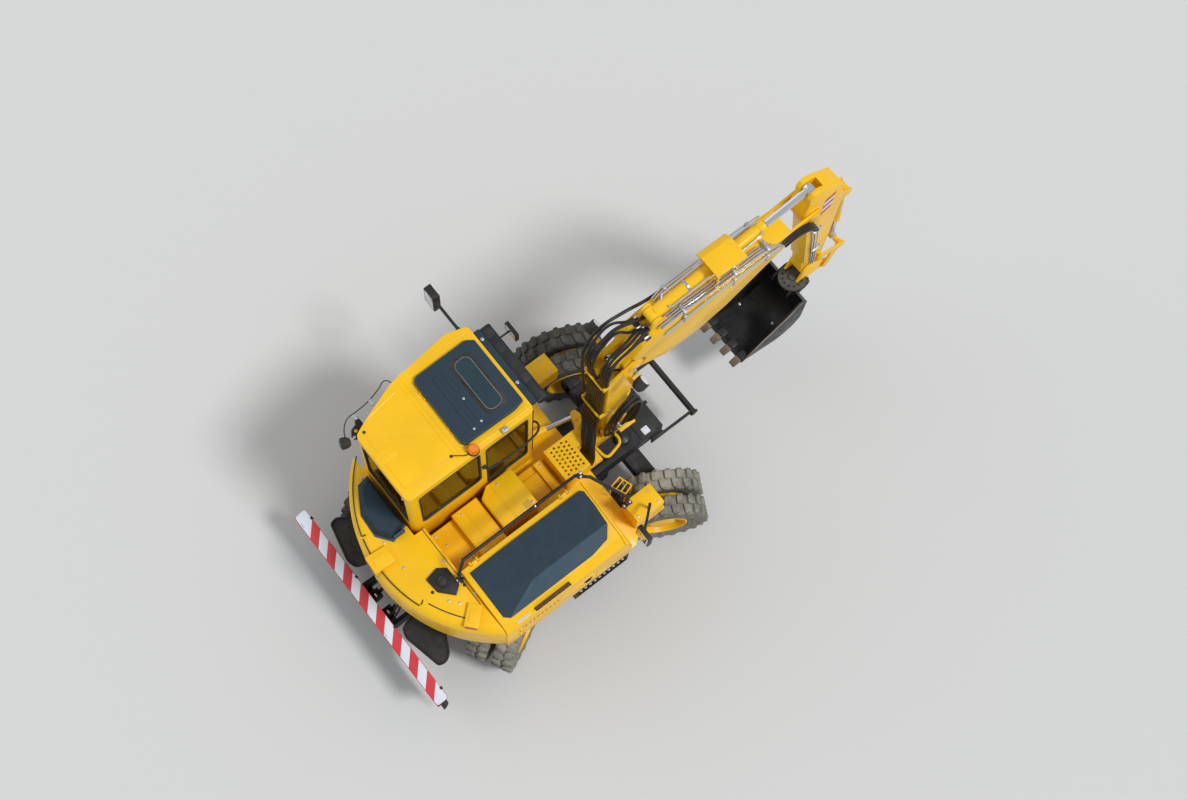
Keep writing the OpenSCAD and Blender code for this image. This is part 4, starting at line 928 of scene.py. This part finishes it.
class EXCAVATOR_OT_cab_trim(bpy.types.Operator):
    """Adds the rail beside the cab, the wiper, the rear lamp's bracket, the door's handle and the mirrors' faces"""
    bl_idname = "excavator.cab_trim"
    bl_label = "Cab trim"

    def execute(self, context):
        rail = [(-0.105, 0.1, 2.3), (-0.09, 0.072, 2.3), (0, 0.052, 2.305), (0.22, 0.04, 2.31), (0.42, 0.05, 2.31),
                (0.54, 0.085, 2.3), (0.575, 0.15, 2.28), (0.555, 0.19, 2.26), (0.523, 0.2, 2.26)]
        parts = [tube("seal", rail, 0.012)]
        for place in ((-0.105, 0.112, 2.3), (0.519, 0.2, 2.26)):
            parts.append(block("black", [c - 0.022 for c in place], [c + 0.022 for c in place], 0.006))
        bracket = [(-0.822, 1.125), (-0.845, 1.135), (-0.885, 1.065), (-0.945, 1.045), (-0.985, 0.985),
                   (-0.972, 0.945), (-0.935, 0.93), (-0.905, 0.965), (-0.865, 1), (-0.815, 1.035)]
        lead = [(-1.04, 1, 2.75), (-1.01, 1.065, 2.77), (-0.955, 1.125, 2.78), (-0.9, 1.15, 2.79), (-0.8, 1.15, 2.8),
                (-0.65, 1.165, 2.8), (-0.5, 1.21, 2.79), (-0.41, 1.245, 2.77), (-0.375, 1.215, 2.745),
                (-0.36, 1.158, 2.735)]
        parts += [
            bent_pipe("black", [(0.53, 0.6, 1.6), (0.545, 0.6, 1.64), (0.545, 0.52, 2.05), (0.534, 0.44, 2.45)], 0.007),
            block("black", (0.5205, 0.55, 1.565), (0.552, 0.65, 1.625), 0.01),
            bar("seal", (0.531, 0.4, 2.2), (0.531, 0.47, 2.72), 0.008),
            # Right edge of the windscreen, and a bolt at each of the rear corners
            disc("seal", (0.515, 0.15, 1.5), 1.27, 0.01),
            disc("zinc", (-0.965, 0.955, 2.8), 0.012, 0.014, 6, 0.001),
            disc("zinc", (-0.965, 0.2, 2.8), 0.012, 0.014, 6, 0.001),
            # Rear left bracket, and the lead of its round lamp
            plate("black", bracket, 2.748, 2.76),
            disc("yellow", (-0.915, 1.01, 2.758), 0.008, 0.016, 24, 0.002),
            block("black", (-0.86, 0.985, 2.7), (-0.8, 1.03, 2.752), 0.006),
            bar("zinc", (-0.965, 0.965, 2.752), (-1.005, 0.975, 2.742), 0.012),
            tube("hose", lead, 0.0055)]
        lamp = [spun("seal", [(0.0005, -0.055), (0.04, -0.05), (0.056, -0.02), (0.06, 0.03), (0.054, 0.036),
                              (0.0005, 0.033)], 32),
                spun("clear lens", [(0.0005, 0.0335), (0.05, 0.0335), (0.044, 0.041), (0.0005, 0.046)], 32)]
        parts += [moved(moved(piece, (0, 0, 0), 18, "X"), (-1.065, 0.985, 2.735), 74) for piece in lamp]
        for x, y, z in ((-0.64, 1.155, 2.8), (-0.845, 1.14, 2.785)):
            parts.append(block("zinc", (x - 0.014, y - 0.05, z - 0.012), (x + 0.014, y + 0.012, z + 0.012), 0.003))
        handed_over(parts, "cab_trim", "upper", "frame_black")
        grip = [(0.3, 1.212, 1.9), (0.3, 1.262, 1.9), (0.17, 1.256, 1.9), (0.17, 1.206, 1.9)]
        handed_over([bent_pipe("black", grip, 0.01), block("seal", (0.145, 1.19, 1.885), (0.325, 1.222, 1.945), 0.008)],
                    "door_handle", "cab_door", "frame_black")
        faces = [pad("chrome", low, high, radius, x, x + 0.003, "X", 0.001) for low, high, radius, x in (
            ((1.785, 2.02), (1.915, 2.315), 0.02, 0.5275), ((0.965, 2.25), (1.115, 2.38), 0.015, 0.9275),
            ((-1.378, 1.72), (-1.222, 1.945), 0.02, 0.7575))]
        faces += [disc("black", (0.554, y, 2.26), 0.03, 0.024, 20, 0.004, "Y") for y in (1.3, 1.38)]
        handed_over(faces, "mirror_faces", "upper", "frame_black")
        return {"FINISHED"}


class EXCAVATOR_OT_deck_trim(bpy.types.Operator):
    """Adds lids, screws and blank plates to the deck's boxes and the lamp boxes"""
    bl_idname = "excavator.deck_trim"
    bl_label = "Deck trim"

    def execute(self, context):
        lids = [([(-0.222, -0.372), (-0.088, -0.372), (-0.088, 0.072), (-0.118, 0.072), (-0.222, -0.006)], 1.7),
                ([(-0.078, -0.372), (0.182, -0.372), (0.182, 0.072), (-0.078, 0.072)], 1.7),
                ([(-0.545, -0.432), (-0.44, -0.432), (-0.44, 0.062), (-0.545, 0.062)], 1.6),
                ([(-0.43, -0.432), (-0.258, -0.432), (-0.258, 0.062), (-0.43, 0.062)], 1.6)]
        parts = [plate("yellow", outline, z, z + 0.004, edge=0.002) for outline, z in lids]
        screws = {1.704: [(-0.02, 0.03), (0.15, -0.33)], 1.604: [(-0.5, -0.4), (-0.47, 0.02)],
                  1.48: [(-0.76, -0.12), (-0.8, 0.02), (-0.62, -0.3), (-0.64, -0.38)],
                  1.3: [(0.25, -0.36), (0.4, -0.4), (0.52, -0.44)],
                  1.24: [(0.4, -0.1), (0.52, 0.02), (0.3, -0.22)]}
        parts += [
            bolt_heads([(x, y, z) for z, places in screws.items() for x, y in places], 0.01),
            pad("dusty yellow", (0.055, -0.355), (0.135, -0.28), 0.01, 1.7035, 1.7055, "Z", 0),
            # A raised lid on the low box, and its rib
            block("yellow", (0.235, -0.275, 1.236), (0.45, -0.02, 1.262), 0.008),
            block("yellow", (0.455, -0.29, 1.238), (0.475, 0.05, 1.3))]
        # Handrail's feet on the tail and on the right lamp box, and its clamps
        for x, y, z in ((-0.89, -0.52, TAIL_Z), (0.93, -0.88, 1.44)):
            parts += [block("black", (x - 0.055, y - 0.028, z), (x + 0.055, y + 0.028, z + 0.012)),
                      bolt_heads([(x - 0.036, y, z + 0.012), (x + 0.036, y, z + 0.012)], 0.011)]
        parts += [
            block("seal", (0.575, -0.51, 2.085), (0.64, -0.455, 2.135), 0.012),
            disc("zinc", (0.6, -0.5, 2.13), 0.02, 0.018, 20, 0.004),
            disc("zinc", (0.622, -0.47, 2.128), 0.02, 0.018, 20, 0.004),
            disc("zinc", (0.06, -0.47, 2.15), 0.015, 0.021, 20, 0.002, "X"),
            # Lamp boxes' faces, a blank plate, their bolts, and the lamp behind the cage
            block("clear lens", (1.288, 0.73, 1.17), (1.297, 0.91, 1.29)),
            block("clear lens", (1.248, -1.06, 1.3), (1.257, -0.88, 1.41)),
            block("dusty yellow", (1.16, -0.93, 1.4395), (1.21, -0.88, 1.441), 0),
            bolt_heads([(1.2, -1.05, 1.44), (0.94, -1.05, 1.44), (1.2, 0.73, 1.32), (1.2, 0.91, 1.32)], 0.01),
            bar("black", (0.985, -0.7, 1.3), (1.045, -0.685, 1.31), 0.062, 32, 0.008),
            bar("black", (0.985, -0.72, 1.13), (0.985, -0.71, 1.26), 0.012, 16)]
        # Wire cage between the right lamp box and the housing
        corners, top = [(1.033, -0.625), (1.08, -0.765), (0.975, -0.8), (0.905, -0.655)], 1.5
        for a, b in zip(corners, corners[1:] + corners[:1]):
            parts += [bar("yellow", (*a, top), (*b, top), 0.007, 12),
                      bar("yellow", (*a, DECK_Z + 0.05), (*a, top + 0.005), 0.007, 12, 0.001)]
        for share in (0.33, 0.67):
            near, far = ([a * (1 - share) + b * share for a, b in zip(corners[first], corners[last])]
                         for first, last in ((0, 1), (3, 2)))
            parts.append(bar("yellow", (*near, top), (*far, top), 0.006, 12))
        handed_over(parts, "deck_trim", "upper", "yellow")
        return {"FINISHED"}


# Boom

HOSES = 8


def bent_between(routes, radius, name):
    """A bundle of smooth hoses that runs across the joint between two bodies, moved to the frame's origin."""
    piece = joined([tube("hose", route, radius) for route in routes])
    piece.name = piece.data.name = name
    piece.data.transform(Matrix.Translation(SLEW))
    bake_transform(piece)


class EXCAVATOR_OT_hoses(bpy.types.Operator):
    """Runs the hose bundle from the deck up the boom, and the arcs beside its foot"""
    bl_idname = "excavator.hoses"
    bl_label = "Boom hoses"

    def execute(self, context):
        foot, back, over = [], [], []
        for i in range(HOSES):
            side = -0.105 + 0.03 * i
            low = -0.3 + 0.026 * i
            lift = 0.05 * ((i * 3) % 4) / 4
            foot.append([(0.945, low, 1.24), (0.965, low, 1.4), (1.01, (low * 2 + side) / 3, 1.54 + lift),
                         (1.075, (low + side * 2) / 3, 1.63 + lift / 2), (1.118, side, 1.72)])
            back.append([(1.118, side, 1.72), (1.15, side, 1.88), (1.163, side, 2.1), (1.163, side, 2.5),
                         (1.163, side, 2.935)])
            # The rod's eye passes between the left and the right half of the bundle
            apart = side + (0.05 if side > 0 else -0.05)
            spread = apart * (0.85 + 0.12 * ((i * 5) % 3))
            far = 1.62 + 0.045 * ((i * 3) % 4)
            top = 3.455 + (far - 1.56) * 0.32
            over.append([(1.163, side, 2.935), (1.148, apart, 3.06), (1.172, apart, 3.32 + lift),
                         (1.27, spread, 3.5 + lift), (1.42, spread, 3.575 + lift),
                         (far - 0.09, side * 1.05, top + 0.055), (far, side, top + 0.012)])
        hose = sizes().hose
        bent_between(foot, hose, "hoses_at_foot")
        bent_between(back, hose, "hoses_on_boom")
        bent_between(over, hose, "hoses_over_joint")
        # Couplings where the hoses end on the upper boom
        ends = [bar("zinc", (x - 0.02, y, z + 0.008), (x + 0.045, y, z + 0.004), 0.019, 6, 0.002)
                for x, y, z in (route[-1] for route in over)]
        ends.append(block("black", (1.615, -0.135, 3.462), (1.675, 0.135, 3.486)))
        handed_over(ends, "hose_couplings", "upper_boom", "chrome")

        # Arcs on the right of the foot, from the tube guard to the post's plate
        arcs, fittings = [], []
        for i in range(5):
            y, out, near, far = -0.205 - 0.03 * (i % 3), 0.035 * i, 0.02 * i, 0.03 * i
            x, z = 1.505 - far, 1.47
            arcs.append([(1.215 + far, -0.186, 1.44), (1.17 + far, y, 1.62), (1.19 + near, y - 0.01, 1.95 + out),
                         (1.33 + near, y - 0.01, 2.2 + out), (1.5, y, 2.16 + out), (1.575 - 0.01 * i, y, 1.93),
                         (1.56 - far, y + 0.01, 1.66), (x, -0.195, z)])
            fittings.append(disc("zinc", (x, -0.195, z - 0.05), 0.095, 0.019, 6, 0.002))
        handed_over([tube("hose", arc, hose) for arc in arcs], "hose_arcs", "swing_post", "frame_black")
        guard = [(1.18, 0.11, 1.5), (1.005, 0.035, 1.5), (1.055, -0.4, 1.5), (1.29, -0.345, 1.5),
                 (1.285, -0.19, 1.48), (1.27, -0.12, 1.455)]
        fittings += [bent_pipe("yellow", guard, 0.016, 0.07),
                     block("yellow", (1.36, -0.245, 1.395), (1.56, -0.16, 1.425), 0.006),
                     plate("yellow", [(1.4, 1.28), (1.55, 1.28), (1.56, 1.42), (1.38, 1.42)], -0.185, -0.163, "Y",
                           0.004)]
        fittings += [disc("zinc", (1.24 + 0.045 * i, -0.205, 1.6), 0.12, 0.017, 6, 0.002) for i in range(3)]
        handed_over(fittings, "foot_fittings", "swing_post", "yellow")

        # One long hose on the left that reaches round to the upper boom's flank
        side = [(1.18, 0.175, 2.1), (1.165, 0.19, 2.5), (1.15, 0.205, 2.95), (1.19, 0.225, 3.25), (1.36, 0.225, 3.5),
                (1.6, 0.205, 3.53), (1.86, 0.18, 3.5), (2.05, 0.172, 3.5)]
        bent_between([side], 0.017, "left_hose")
        return {"FINISHED"}


class EXCAVATOR_OT_pipes(bpy.types.Operator):
    """Runs steel pipes along the upper boom and down the arm, with their clamps"""
    bl_idname = "excavator.pipes"
    bl_label = "Boom pipes"

    def execute(self, context):
        def top(x):
            """Height of the upper boom's top."""
            return 3.45 + (x - 1.56) / 0.34 * 0.11 if x < 1.9 else 3.56 + min(1, (x - 1.9) / 0.8) * 0.04

        lines = []
        for i in range(4):
            y = -0.06 - 0.026 * i
            lines.append([(1.7 + 0.03 * i, y, top(1.72) + 0.03), (2.05, y - 0.004, top(2.05) + 0.035),
                          (2.1 + 0.04 * i, y - 0.012, top(2.1) + 0.035), (2.95, y - 0.012, top(2.9) + 0.035),
                          (3.05 + 0.03 * i, y - 0.03, 3.6), (3.24, y - 0.035, 3.555 - 0.012 * i)])
        for y in (0.112, 0.139):
            lines.append([(1.88, y, top(1.88) + 0.02), (2.02, y + 0.03, top(2) + 0.02),
                          (2.95, y + 0.035, top(2.9) + 0.015), (3.2, y + 0.035, 3.575)])
        parts = [bent_pipe("chrome", line, sizes().pipe, 0.04) for line in lines]
        for drop in (0, 0.03, 0.06):
            line = [(1.82, -0.166, 3.42 - drop), (2.25, -0.166, 3.5 - drop), (2.8, -0.166, 3.535 - drop),
                    (3.15, -0.172, 3.545 - drop), (3.32, -0.172, 3.5 - drop)]
            parts.append(bent_pipe("chrome", line, 0.008, 0.04))
        for x in (2.02, 2.62, 3.02):
            z = top(x)
            parts += [block("zinc", (x, -0.165, z), (x + 0.035, -0.045, z + 0.052)),
                      block("zinc", (x, 0.132, z - 0.01), (x + 0.035, 0.185, z + 0.036)),
                      block("zinc", (x, -0.182, 3.4), (x + 0.03, -0.149, 3.54)),
                      bolt_heads([(x + 0.018, y, z + 0.052) for y in (-0.125, -0.075)], 0.008)]
        handed_over(parts, "boom_pipes", "upper_boom", "chrome")

        # Hoses from the pipes over the boom's tip to the arm
        loops = []
        for i in range(4):
            y = -0.13 - 0.024 * i
            loops.append([(3.22, y, 3.55 - 0.012 * i), (3.34, y - 0.01, 3.585), (3.5, y - 0.02, 3.55),
                          (3.62, y - 0.02, 3.42), (3.68, y * 0.98, 3.25), (3.72, -0.128 - 0.004 * i, 3.08)])
        bent_between(loops, 0.012, "hoses_at_tip")
        parts = []
        for i in range(3):
            y, wide, near = -0.118 - 0.006 * i, 0.03 * i, 0.02 * i
            line = [(3.72 + wide, y, 3.1), (3.8 + wide, y, 2.7), (3.9 + near, y, 2.1), (3.92 + near, y, 1.9)]
            parts.append(bent_pipe("chrome", line, 0.009))
        for z, x in ((2.95, 3.735), (2.35, 3.84)):
            parts.append(block("zinc", (x, -0.142, z), (x + 0.12, -0.104, z + 0.03)))
        handed_over(parts, "arm_pipes", "arm", "chrome")
        return {"FINISHED"}


class EXCAVATOR_OT_boom_fittings(bpy.types.Operator):
    """Adds pin caps, cylinder glands, the cover over the arm cylinder, lamps and the striped plates on the arm"""
    bl_idname = "excavator.boom_fittings"
    bl_label = "Boom fittings"

    def execute(self, context):
        for body, (x, z), radius, half in (("swing_post", FOOT, 0.056, 0.165), ("lower_boom", JOINT, 0.062, 0.15),
                                           ("upper_boom", TIP, 0.06, 0.15)):
            caps = []
            for side in (-1, 1):
                caps += [disc("yellow", (x, side * (half - 0.001), z), side * 0.013, radius, 32, 0.004, "Y"),
                         disc("zinc", (x, side * (half + 0.011), z), side * 0.004, radius * 0.35, 20, 0.001, "Y")]
            handed_over(caps, "pin_caps_" + body, body, "yellow")

        for name, (base, eye, length, radius) in CYLINDERS.items():
            foot = Vector((base[0], 0, base[1]))
            way = Vector((eye[0] - base[0], 0, eye[1] - base[1])).normalized()
            end = foot + way * length
            parts = [bar("yellow", end - way * 0.075, end + way * 0.002, radius + 0.006, 40, 0.004),
                     bar("seal", end + way * 0.0015, end + way * 0.01, radius * 0.82, 40, 0.002)]
            if name == "arm":
                up = Vector((-way.z, 0, way.x))
                for y in (0.075, -0.075):
                    side = Vector((0, y, 0))
                    line = [foot + way * 0.16 + side * 0.5 + up * 0.05, foot + way * 0.18 + side + up * 0.055,
                            end - way * 0.12 + side + up * 0.055, end - way * 0.06 + side * 0.7 + up * 0.045]
                    parts.append(bent_pipe("chrome", line, 0.01, 0.03))
                for share in (0.3, 0.72):
                    middle = foot + way * length * share
                    parts.append(bar("zinc", middle, middle + way * 0.03, radius + 0.005, 40, 0.002))
            handed_over(parts, name + "_gland", name + "_barrel", "yellow")

        # Folded cover plate over the arm cylinder, standing on the upper boom
        fold = [(0.152, 3.88), (0.075, 3.942), (-0.165, 3.942), (-0.165, 3.93), (0.07, 3.93), (0.145, 3.87)]
        cover = [plate("yellow", fold, 2.375, 2.725, "X", 0.002)]
        for x in (2.43, 2.66):
            for y, top in ((0.118, 3.9), (-0.12, 3.932)):
                cover.append(block("yellow", (x, y - 0.006, 3.585), (x + 0.03, y + 0.006, top), 0.002))
        handed_over(cover, "cylinder_cover", "upper_boom", "yellow")

        # Work lamps with their glasses, grids and stays
        for side, name in ((1, "left"), (-1, "right")):
            lamp = [spun("seal", [(0.0005, -0.045), (0.045, -0.04), (0.06, -0.015), (0.066, 0), (0.066, 0.07),
                                  (0.062, 0.08), (0.0005, 0.078)], 40),
                    spun("stripe white", [(0.0005, 0.0785), (0.056, 0.0785), (0.05, 0.086), (0.0005, 0.09)], 40)]
            lamp += [disc("zinc", (u, 0.084, -0.045), 0.09, 0.002, 8) for u in (-0.02, 0, 0.02)]
            lamp = moved(moved(joined(lamp), (0, 0, 0), -90), (1.37, side * 0.35, 3.15), -32, "Y")
            low, high = sorted((side * 0.149, side * 0.372))
            stay = [block("yellow", (1.35, low, 3.035), (1.396, high, 3.05), 0.003),
                    block("zinc", (1.352, side * 0.35 - 0.018, 3.045), (1.394, side * 0.35 + 0.018, 3.105))]
            handed_over([lamp] + stay, "work_lamp_" + name, "lower_boom", "frame_black")

        # Guard hoops round the hoses with their feet, and the screws on the boom's flanks
        parts = []
        for z in (2.08, 2.92):
            hoop = [(1.21, 0.138, z), (1.13, 0.138, z), (1.13, -0.138, z), (1.21, -0.138, z)]
            parts.append(bent_pipe("yellow", hoop, 0.012, 0.03))
            for y in (-0.139, 0.139):
                parts.append(block("yellow", (1.13, y - 0.012, z - 0.035), (1.195, y + 0.012, z + 0.035), 0.003))
        parts += [disc("zinc", (1.25, side * 0.149, 2.2 + 0.2 * k), side * 0.007, 0.01, 6, 0.001, "Y")
                  for side in (-1, 1) for k in range(4)]
        handed_over(parts, "hoop_plates", "lower_boom", "yellow")

        # Blank striped plates on the arm's flanks
        parts = []
        for low, high in ((-0.1072, -0.1052), (0.1052, 0.1072)):
            for k in range(5):
                z = 3.3 + 0.07 * k
                parts.append(plate("stripe white" if k % 2 else "stripe red", [
                    (3.78, z), (3.9, z + 0.05), (3.9, z + 0.12), (3.78, z + 0.07)], low, high, "Y", 0))
        handed_over(parts, "arm_plates", "arm", "yellow")
        return {"FINISHED"}


class EXCAVATOR_OT_bucket_trim(bpy.types.Operator):
    """Adds the teeth's and the sides' wear, the rivets and the coupler's discs and bolts"""
    bl_idname = "excavator.bucket_trim"
    bl_label = "Bucket trim"

    def execute(self, context):
        parts = []
        tooth = [(3.06, 0.808), (3, 0.822), (2.925, 0.76), (2.99, 0.772), (3.07, 0.758)]
        for i in range(4):
            y = -0.2475 + 0.165 * i
            parts += [plate("worn steel", tooth, y - 0.041, y + 0.041, "Y", 0.006),
                      block("black", (3.035, y - 0.048, 0.752), (3.13, y + 0.048, 0.832), 0.01)]
        wear = [(3.02, 0.8), (3.06, 0.8), (3.34, 1), (3.63, 1.2), (3.78, 1.4), (3.73, 1.4), (3.58, 1.25), (3.28, 1.03)]
        x, z = 3.905, 1.3
        for side, low, high in ((-1, -0.3065, -0.3005), (1, 0.3005, 0.3065)):
            parts += [plate("worn steel", wear, low, high, "Y", 0.002),
                      disc("cast iron", (x, side * 0.136, z), side * 0.01, 0.125, 48, 0.004, "Y"),
                      disc("black", (x, side * 0.146, z), side * 0.014, 0.04, 32, 0.004, "Y")]
            parts += [disc("black", (x + u, side * 0.146, z + w), side * 0.008, 0.01, 6, 0.001, "Y")
                      for u, w in circle(0.085, 8)]
        # Round plate with a ring of bolts that carries the coupler
        x, y = 3.85, -0.03
        parts += [disc("cast iron", (x, y, 1.435), 0.03, 0.15, 64, 0.004),
                  disc("cast iron", (x, y, 1.465), 0.025, 0.04, 32, 0.004),
                  bolt_heads([(x + u, y + v, 1.465) for u, v in circle(0.105, 12)], 0.01, "black"),
                  disc("zinc", (3.4, 0.2, 0.91), 0.024, 0.016, 24, 0.003),
                  disc("zinc", (3.52, -0.2, 0.965), 0.024, 0.016, 24, 0.003)]
        handed_over(parts, "bucket_wear", "bucket", "bucket_black")
        return {"FINISHED"}


class EXCAVATOR_OT_under_trim(bpy.types.Operator):
    """Adds the guards' rims, the blade's hoses, the towing bar's collars and the blank plate on the front block"""
    bl_idname = "excavator.under_trim"
    bl_label = "Undercarriage trim"

    def execute(self, context):
        parts = []
        outline = [(-1.135, 0.2), (-1.135, 0.48), (-1.35, 0.9), (-1.42, 0.945), (-1.5, 0.93), (-1.595, 0.5),
                   (-1.56, 0.4), (-1.36, 0.33)]
        for side in (1, -1):
            line = [(x, side * y, 0.858) for x, y in outline]
            parts += [tube("black", rounded_path(line + line[:1], 0.03, 3), 0.01, smooth=False),
                      bolt_heads([(x, side * y, 0.852) for x, y in ((-1.2, 0.27), (-1.2, 0.42), (-1.38, 0.8))], 0.014,
                                 "seal"),
                      # Collar of the front bar
                      disc("black", (2.315, side * 0.375, 0.6), side * 0.025, 0.048, 32, 0.004, "Y")]
        boss = spun("black", [(0.0005, -0.03), (0.085, -0.03), (0.095, -0.01), (0.075, 0.02), (0.04, 0.035),
                              (0.0005, 0.04)], 40)
        parts += [block("black", (1.6, -0.34, 0.8985), (1.872, 0.34, 0.912), 0.006),
                  pad("stripe white", (1.66, -0.325), (1.74, -0.245), 0.008, 0.911, 0.914, "Z", 0.001),
                  moved(boss, (1.45, -0.2, 0.93), 90, "X")]
        for y in (-0.3, 0.3):
            parts.append(bent_pipe("hose", [(0.6, y, 0.93), (1.2, y, 0.93), (1.4, y * 0.8, 0.925),
                                            (1.58, y * 0.5, 0.92)], 0.012))
        handed_over(parts, "under_trim", "chassis", "frame_black")

        hoses = []
        for y, out in ((0.055, 0.34), (0.015, 0.24)):
            hoses.append([(-1.06, y, 0.9), (-1.16, y - 0.02, 0.955), (-1.32, y - out * 0.45, 0.94),
                          (-1.47, y - out * 0.8, 0.84), (-1.585, y - out * 0.85, 0.7), (-1.62, y - out * 0.8, 0.6)])
        bent_between(hoses, 0.011, "blade_hoses")
        return {"FINISHED"}


class EXCAVATOR_OT_stage(bpy.types.Operator):
    """Sets the floor, the lamps and the camera"""
    bl_idname = "excavator.stage"
    bl_label = "Stage"

    def execute(self, context):
        start()
        bpy.ops.mesh.primitive_plane_add(size=80, location=(0, 0, -0.002))
        floor = settled()
        floor.name = "floor"
        shader("floor", (0.62, 0.62, 0.61), 0.9)
        coated(floor, "floor")

        world = context.scene.world = bpy.data.worlds.new("sky")
        world.use_nodes = True
        sky = world.node_tree.nodes["Background"].inputs
        sky["Color"].default_value, sky["Strength"].default_value = (0.93, 0.96, 1.0, 1), 0.55
        for name, strength, spread, turn in (("sun", 1.85, 12, (32, -8, 40)), ("side light", 0.5, 60, (62, 0, 215))):
            bpy.ops.object.light_add(type="SUN", rotation=[radians(a) for a in turn])
            lamp = bpy.context.object
            lamp.name, lamp.data.energy, lamp.data.angle = name, strength, radians(spread)

        # The camera's place and axes in the frame, and its focal length in pixels of the photograph's width
        place, focal, width, sensor = Vector((-2.644, -3.750, 18.598)) + SLEW, 1756, 1188, 36
        right = Vector((0.783154, -0.620537, 0.040046))
        down = Vector((-0.581068, -0.753233, -0.308219))
        view = Vector((0.221426, 0.218113, -0.950472))
        camera = bpy.data.objects.new("camera", bpy.data.cameras.new("camera"))
        context.scene.collection.objects.link(camera)
        camera.matrix_world = Matrix.Translation(place) @ Matrix((right, -down, -view)).transposed().to_4x4()
        camera.data.lens, camera.data.sensor_width, camera.data.clip_end = focal / width * sensor, sensor, 200
        context.scene.camera = camera
        context.scene.view_settings.view_transform = "Standard"
        return {"FINISHED"}


class EXCAVATOR_PT_panel(bpy.types.Panel):
    """Lists the excavator's colours, sizes and pieces"""
    bl_idname = "EXCAVATOR_PT_panel"
    bl_label = "Wheeled excavator"
    bl_space_type = "VIEW_3D"
    bl_region_type = "UI"
    bl_category = "Excavator"

    def draw(self, context):
        for group in (context.scene.excavator_colours, context.scene.excavator_sizes):
            for key in group.__annotations__:
                self.layout.prop(group, key)
        for step in STEPS:
            self.layout.operator(step.bl_idname)


STEPS = [
    EXCAVATOR_OT_stage, EXCAVATOR_OT_finishes, EXCAVATOR_OT_solids, EXCAVATOR_OT_tyres, EXCAVATOR_OT_wheel_nuts,
    EXCAVATOR_OT_blade_band, EXCAVATOR_OT_tail_trim, EXCAVATOR_OT_caps, EXCAVATOR_OT_rear_lamps,
    EXCAVATOR_OT_hood_cover, EXCAVATOR_OT_side_trim, EXCAVATOR_OT_roof, EXCAVATOR_OT_visor, EXCAVATOR_OT_beacon,
    EXCAVATOR_OT_glass, EXCAVATOR_OT_seat, EXCAVATOR_OT_cab_trim, EXCAVATOR_OT_deck_trim, EXCAVATOR_OT_hoses,
    EXCAVATOR_OT_pipes, EXCAVATOR_OT_boom_fittings, EXCAVATOR_OT_bucket_trim, EXCAVATOR_OT_under_trim,
]
GROUPS = [ExcavatorColours, ExcavatorSizes]


def register():
    for kind in GROUPS + STEPS + [EXCAVATOR_PT_panel]:
        bpy.utils.register_class(kind)
    bpy.types.Scene.excavator_colours = bpy.props.PointerProperty(type=ExcavatorColours)
    bpy.types.Scene.excavator_sizes = bpy.props.PointerProperty(type=ExcavatorSizes)


def unregister():
    del bpy.types.Scene.excavator_colours
    del bpy.types.Scene.excavator_sizes
    for kind in reversed(GROUPS + STEPS + [EXCAVATOR_PT_panel]):
        bpy.utils.unregister_class(kind)


def main():
    register()
    for step in STEPS:
        group, name = step.bl_idname.split(".")
        getattr(getattr(bpy.ops, group), name)()
    start()


if __name__ == "__main__":
    main()
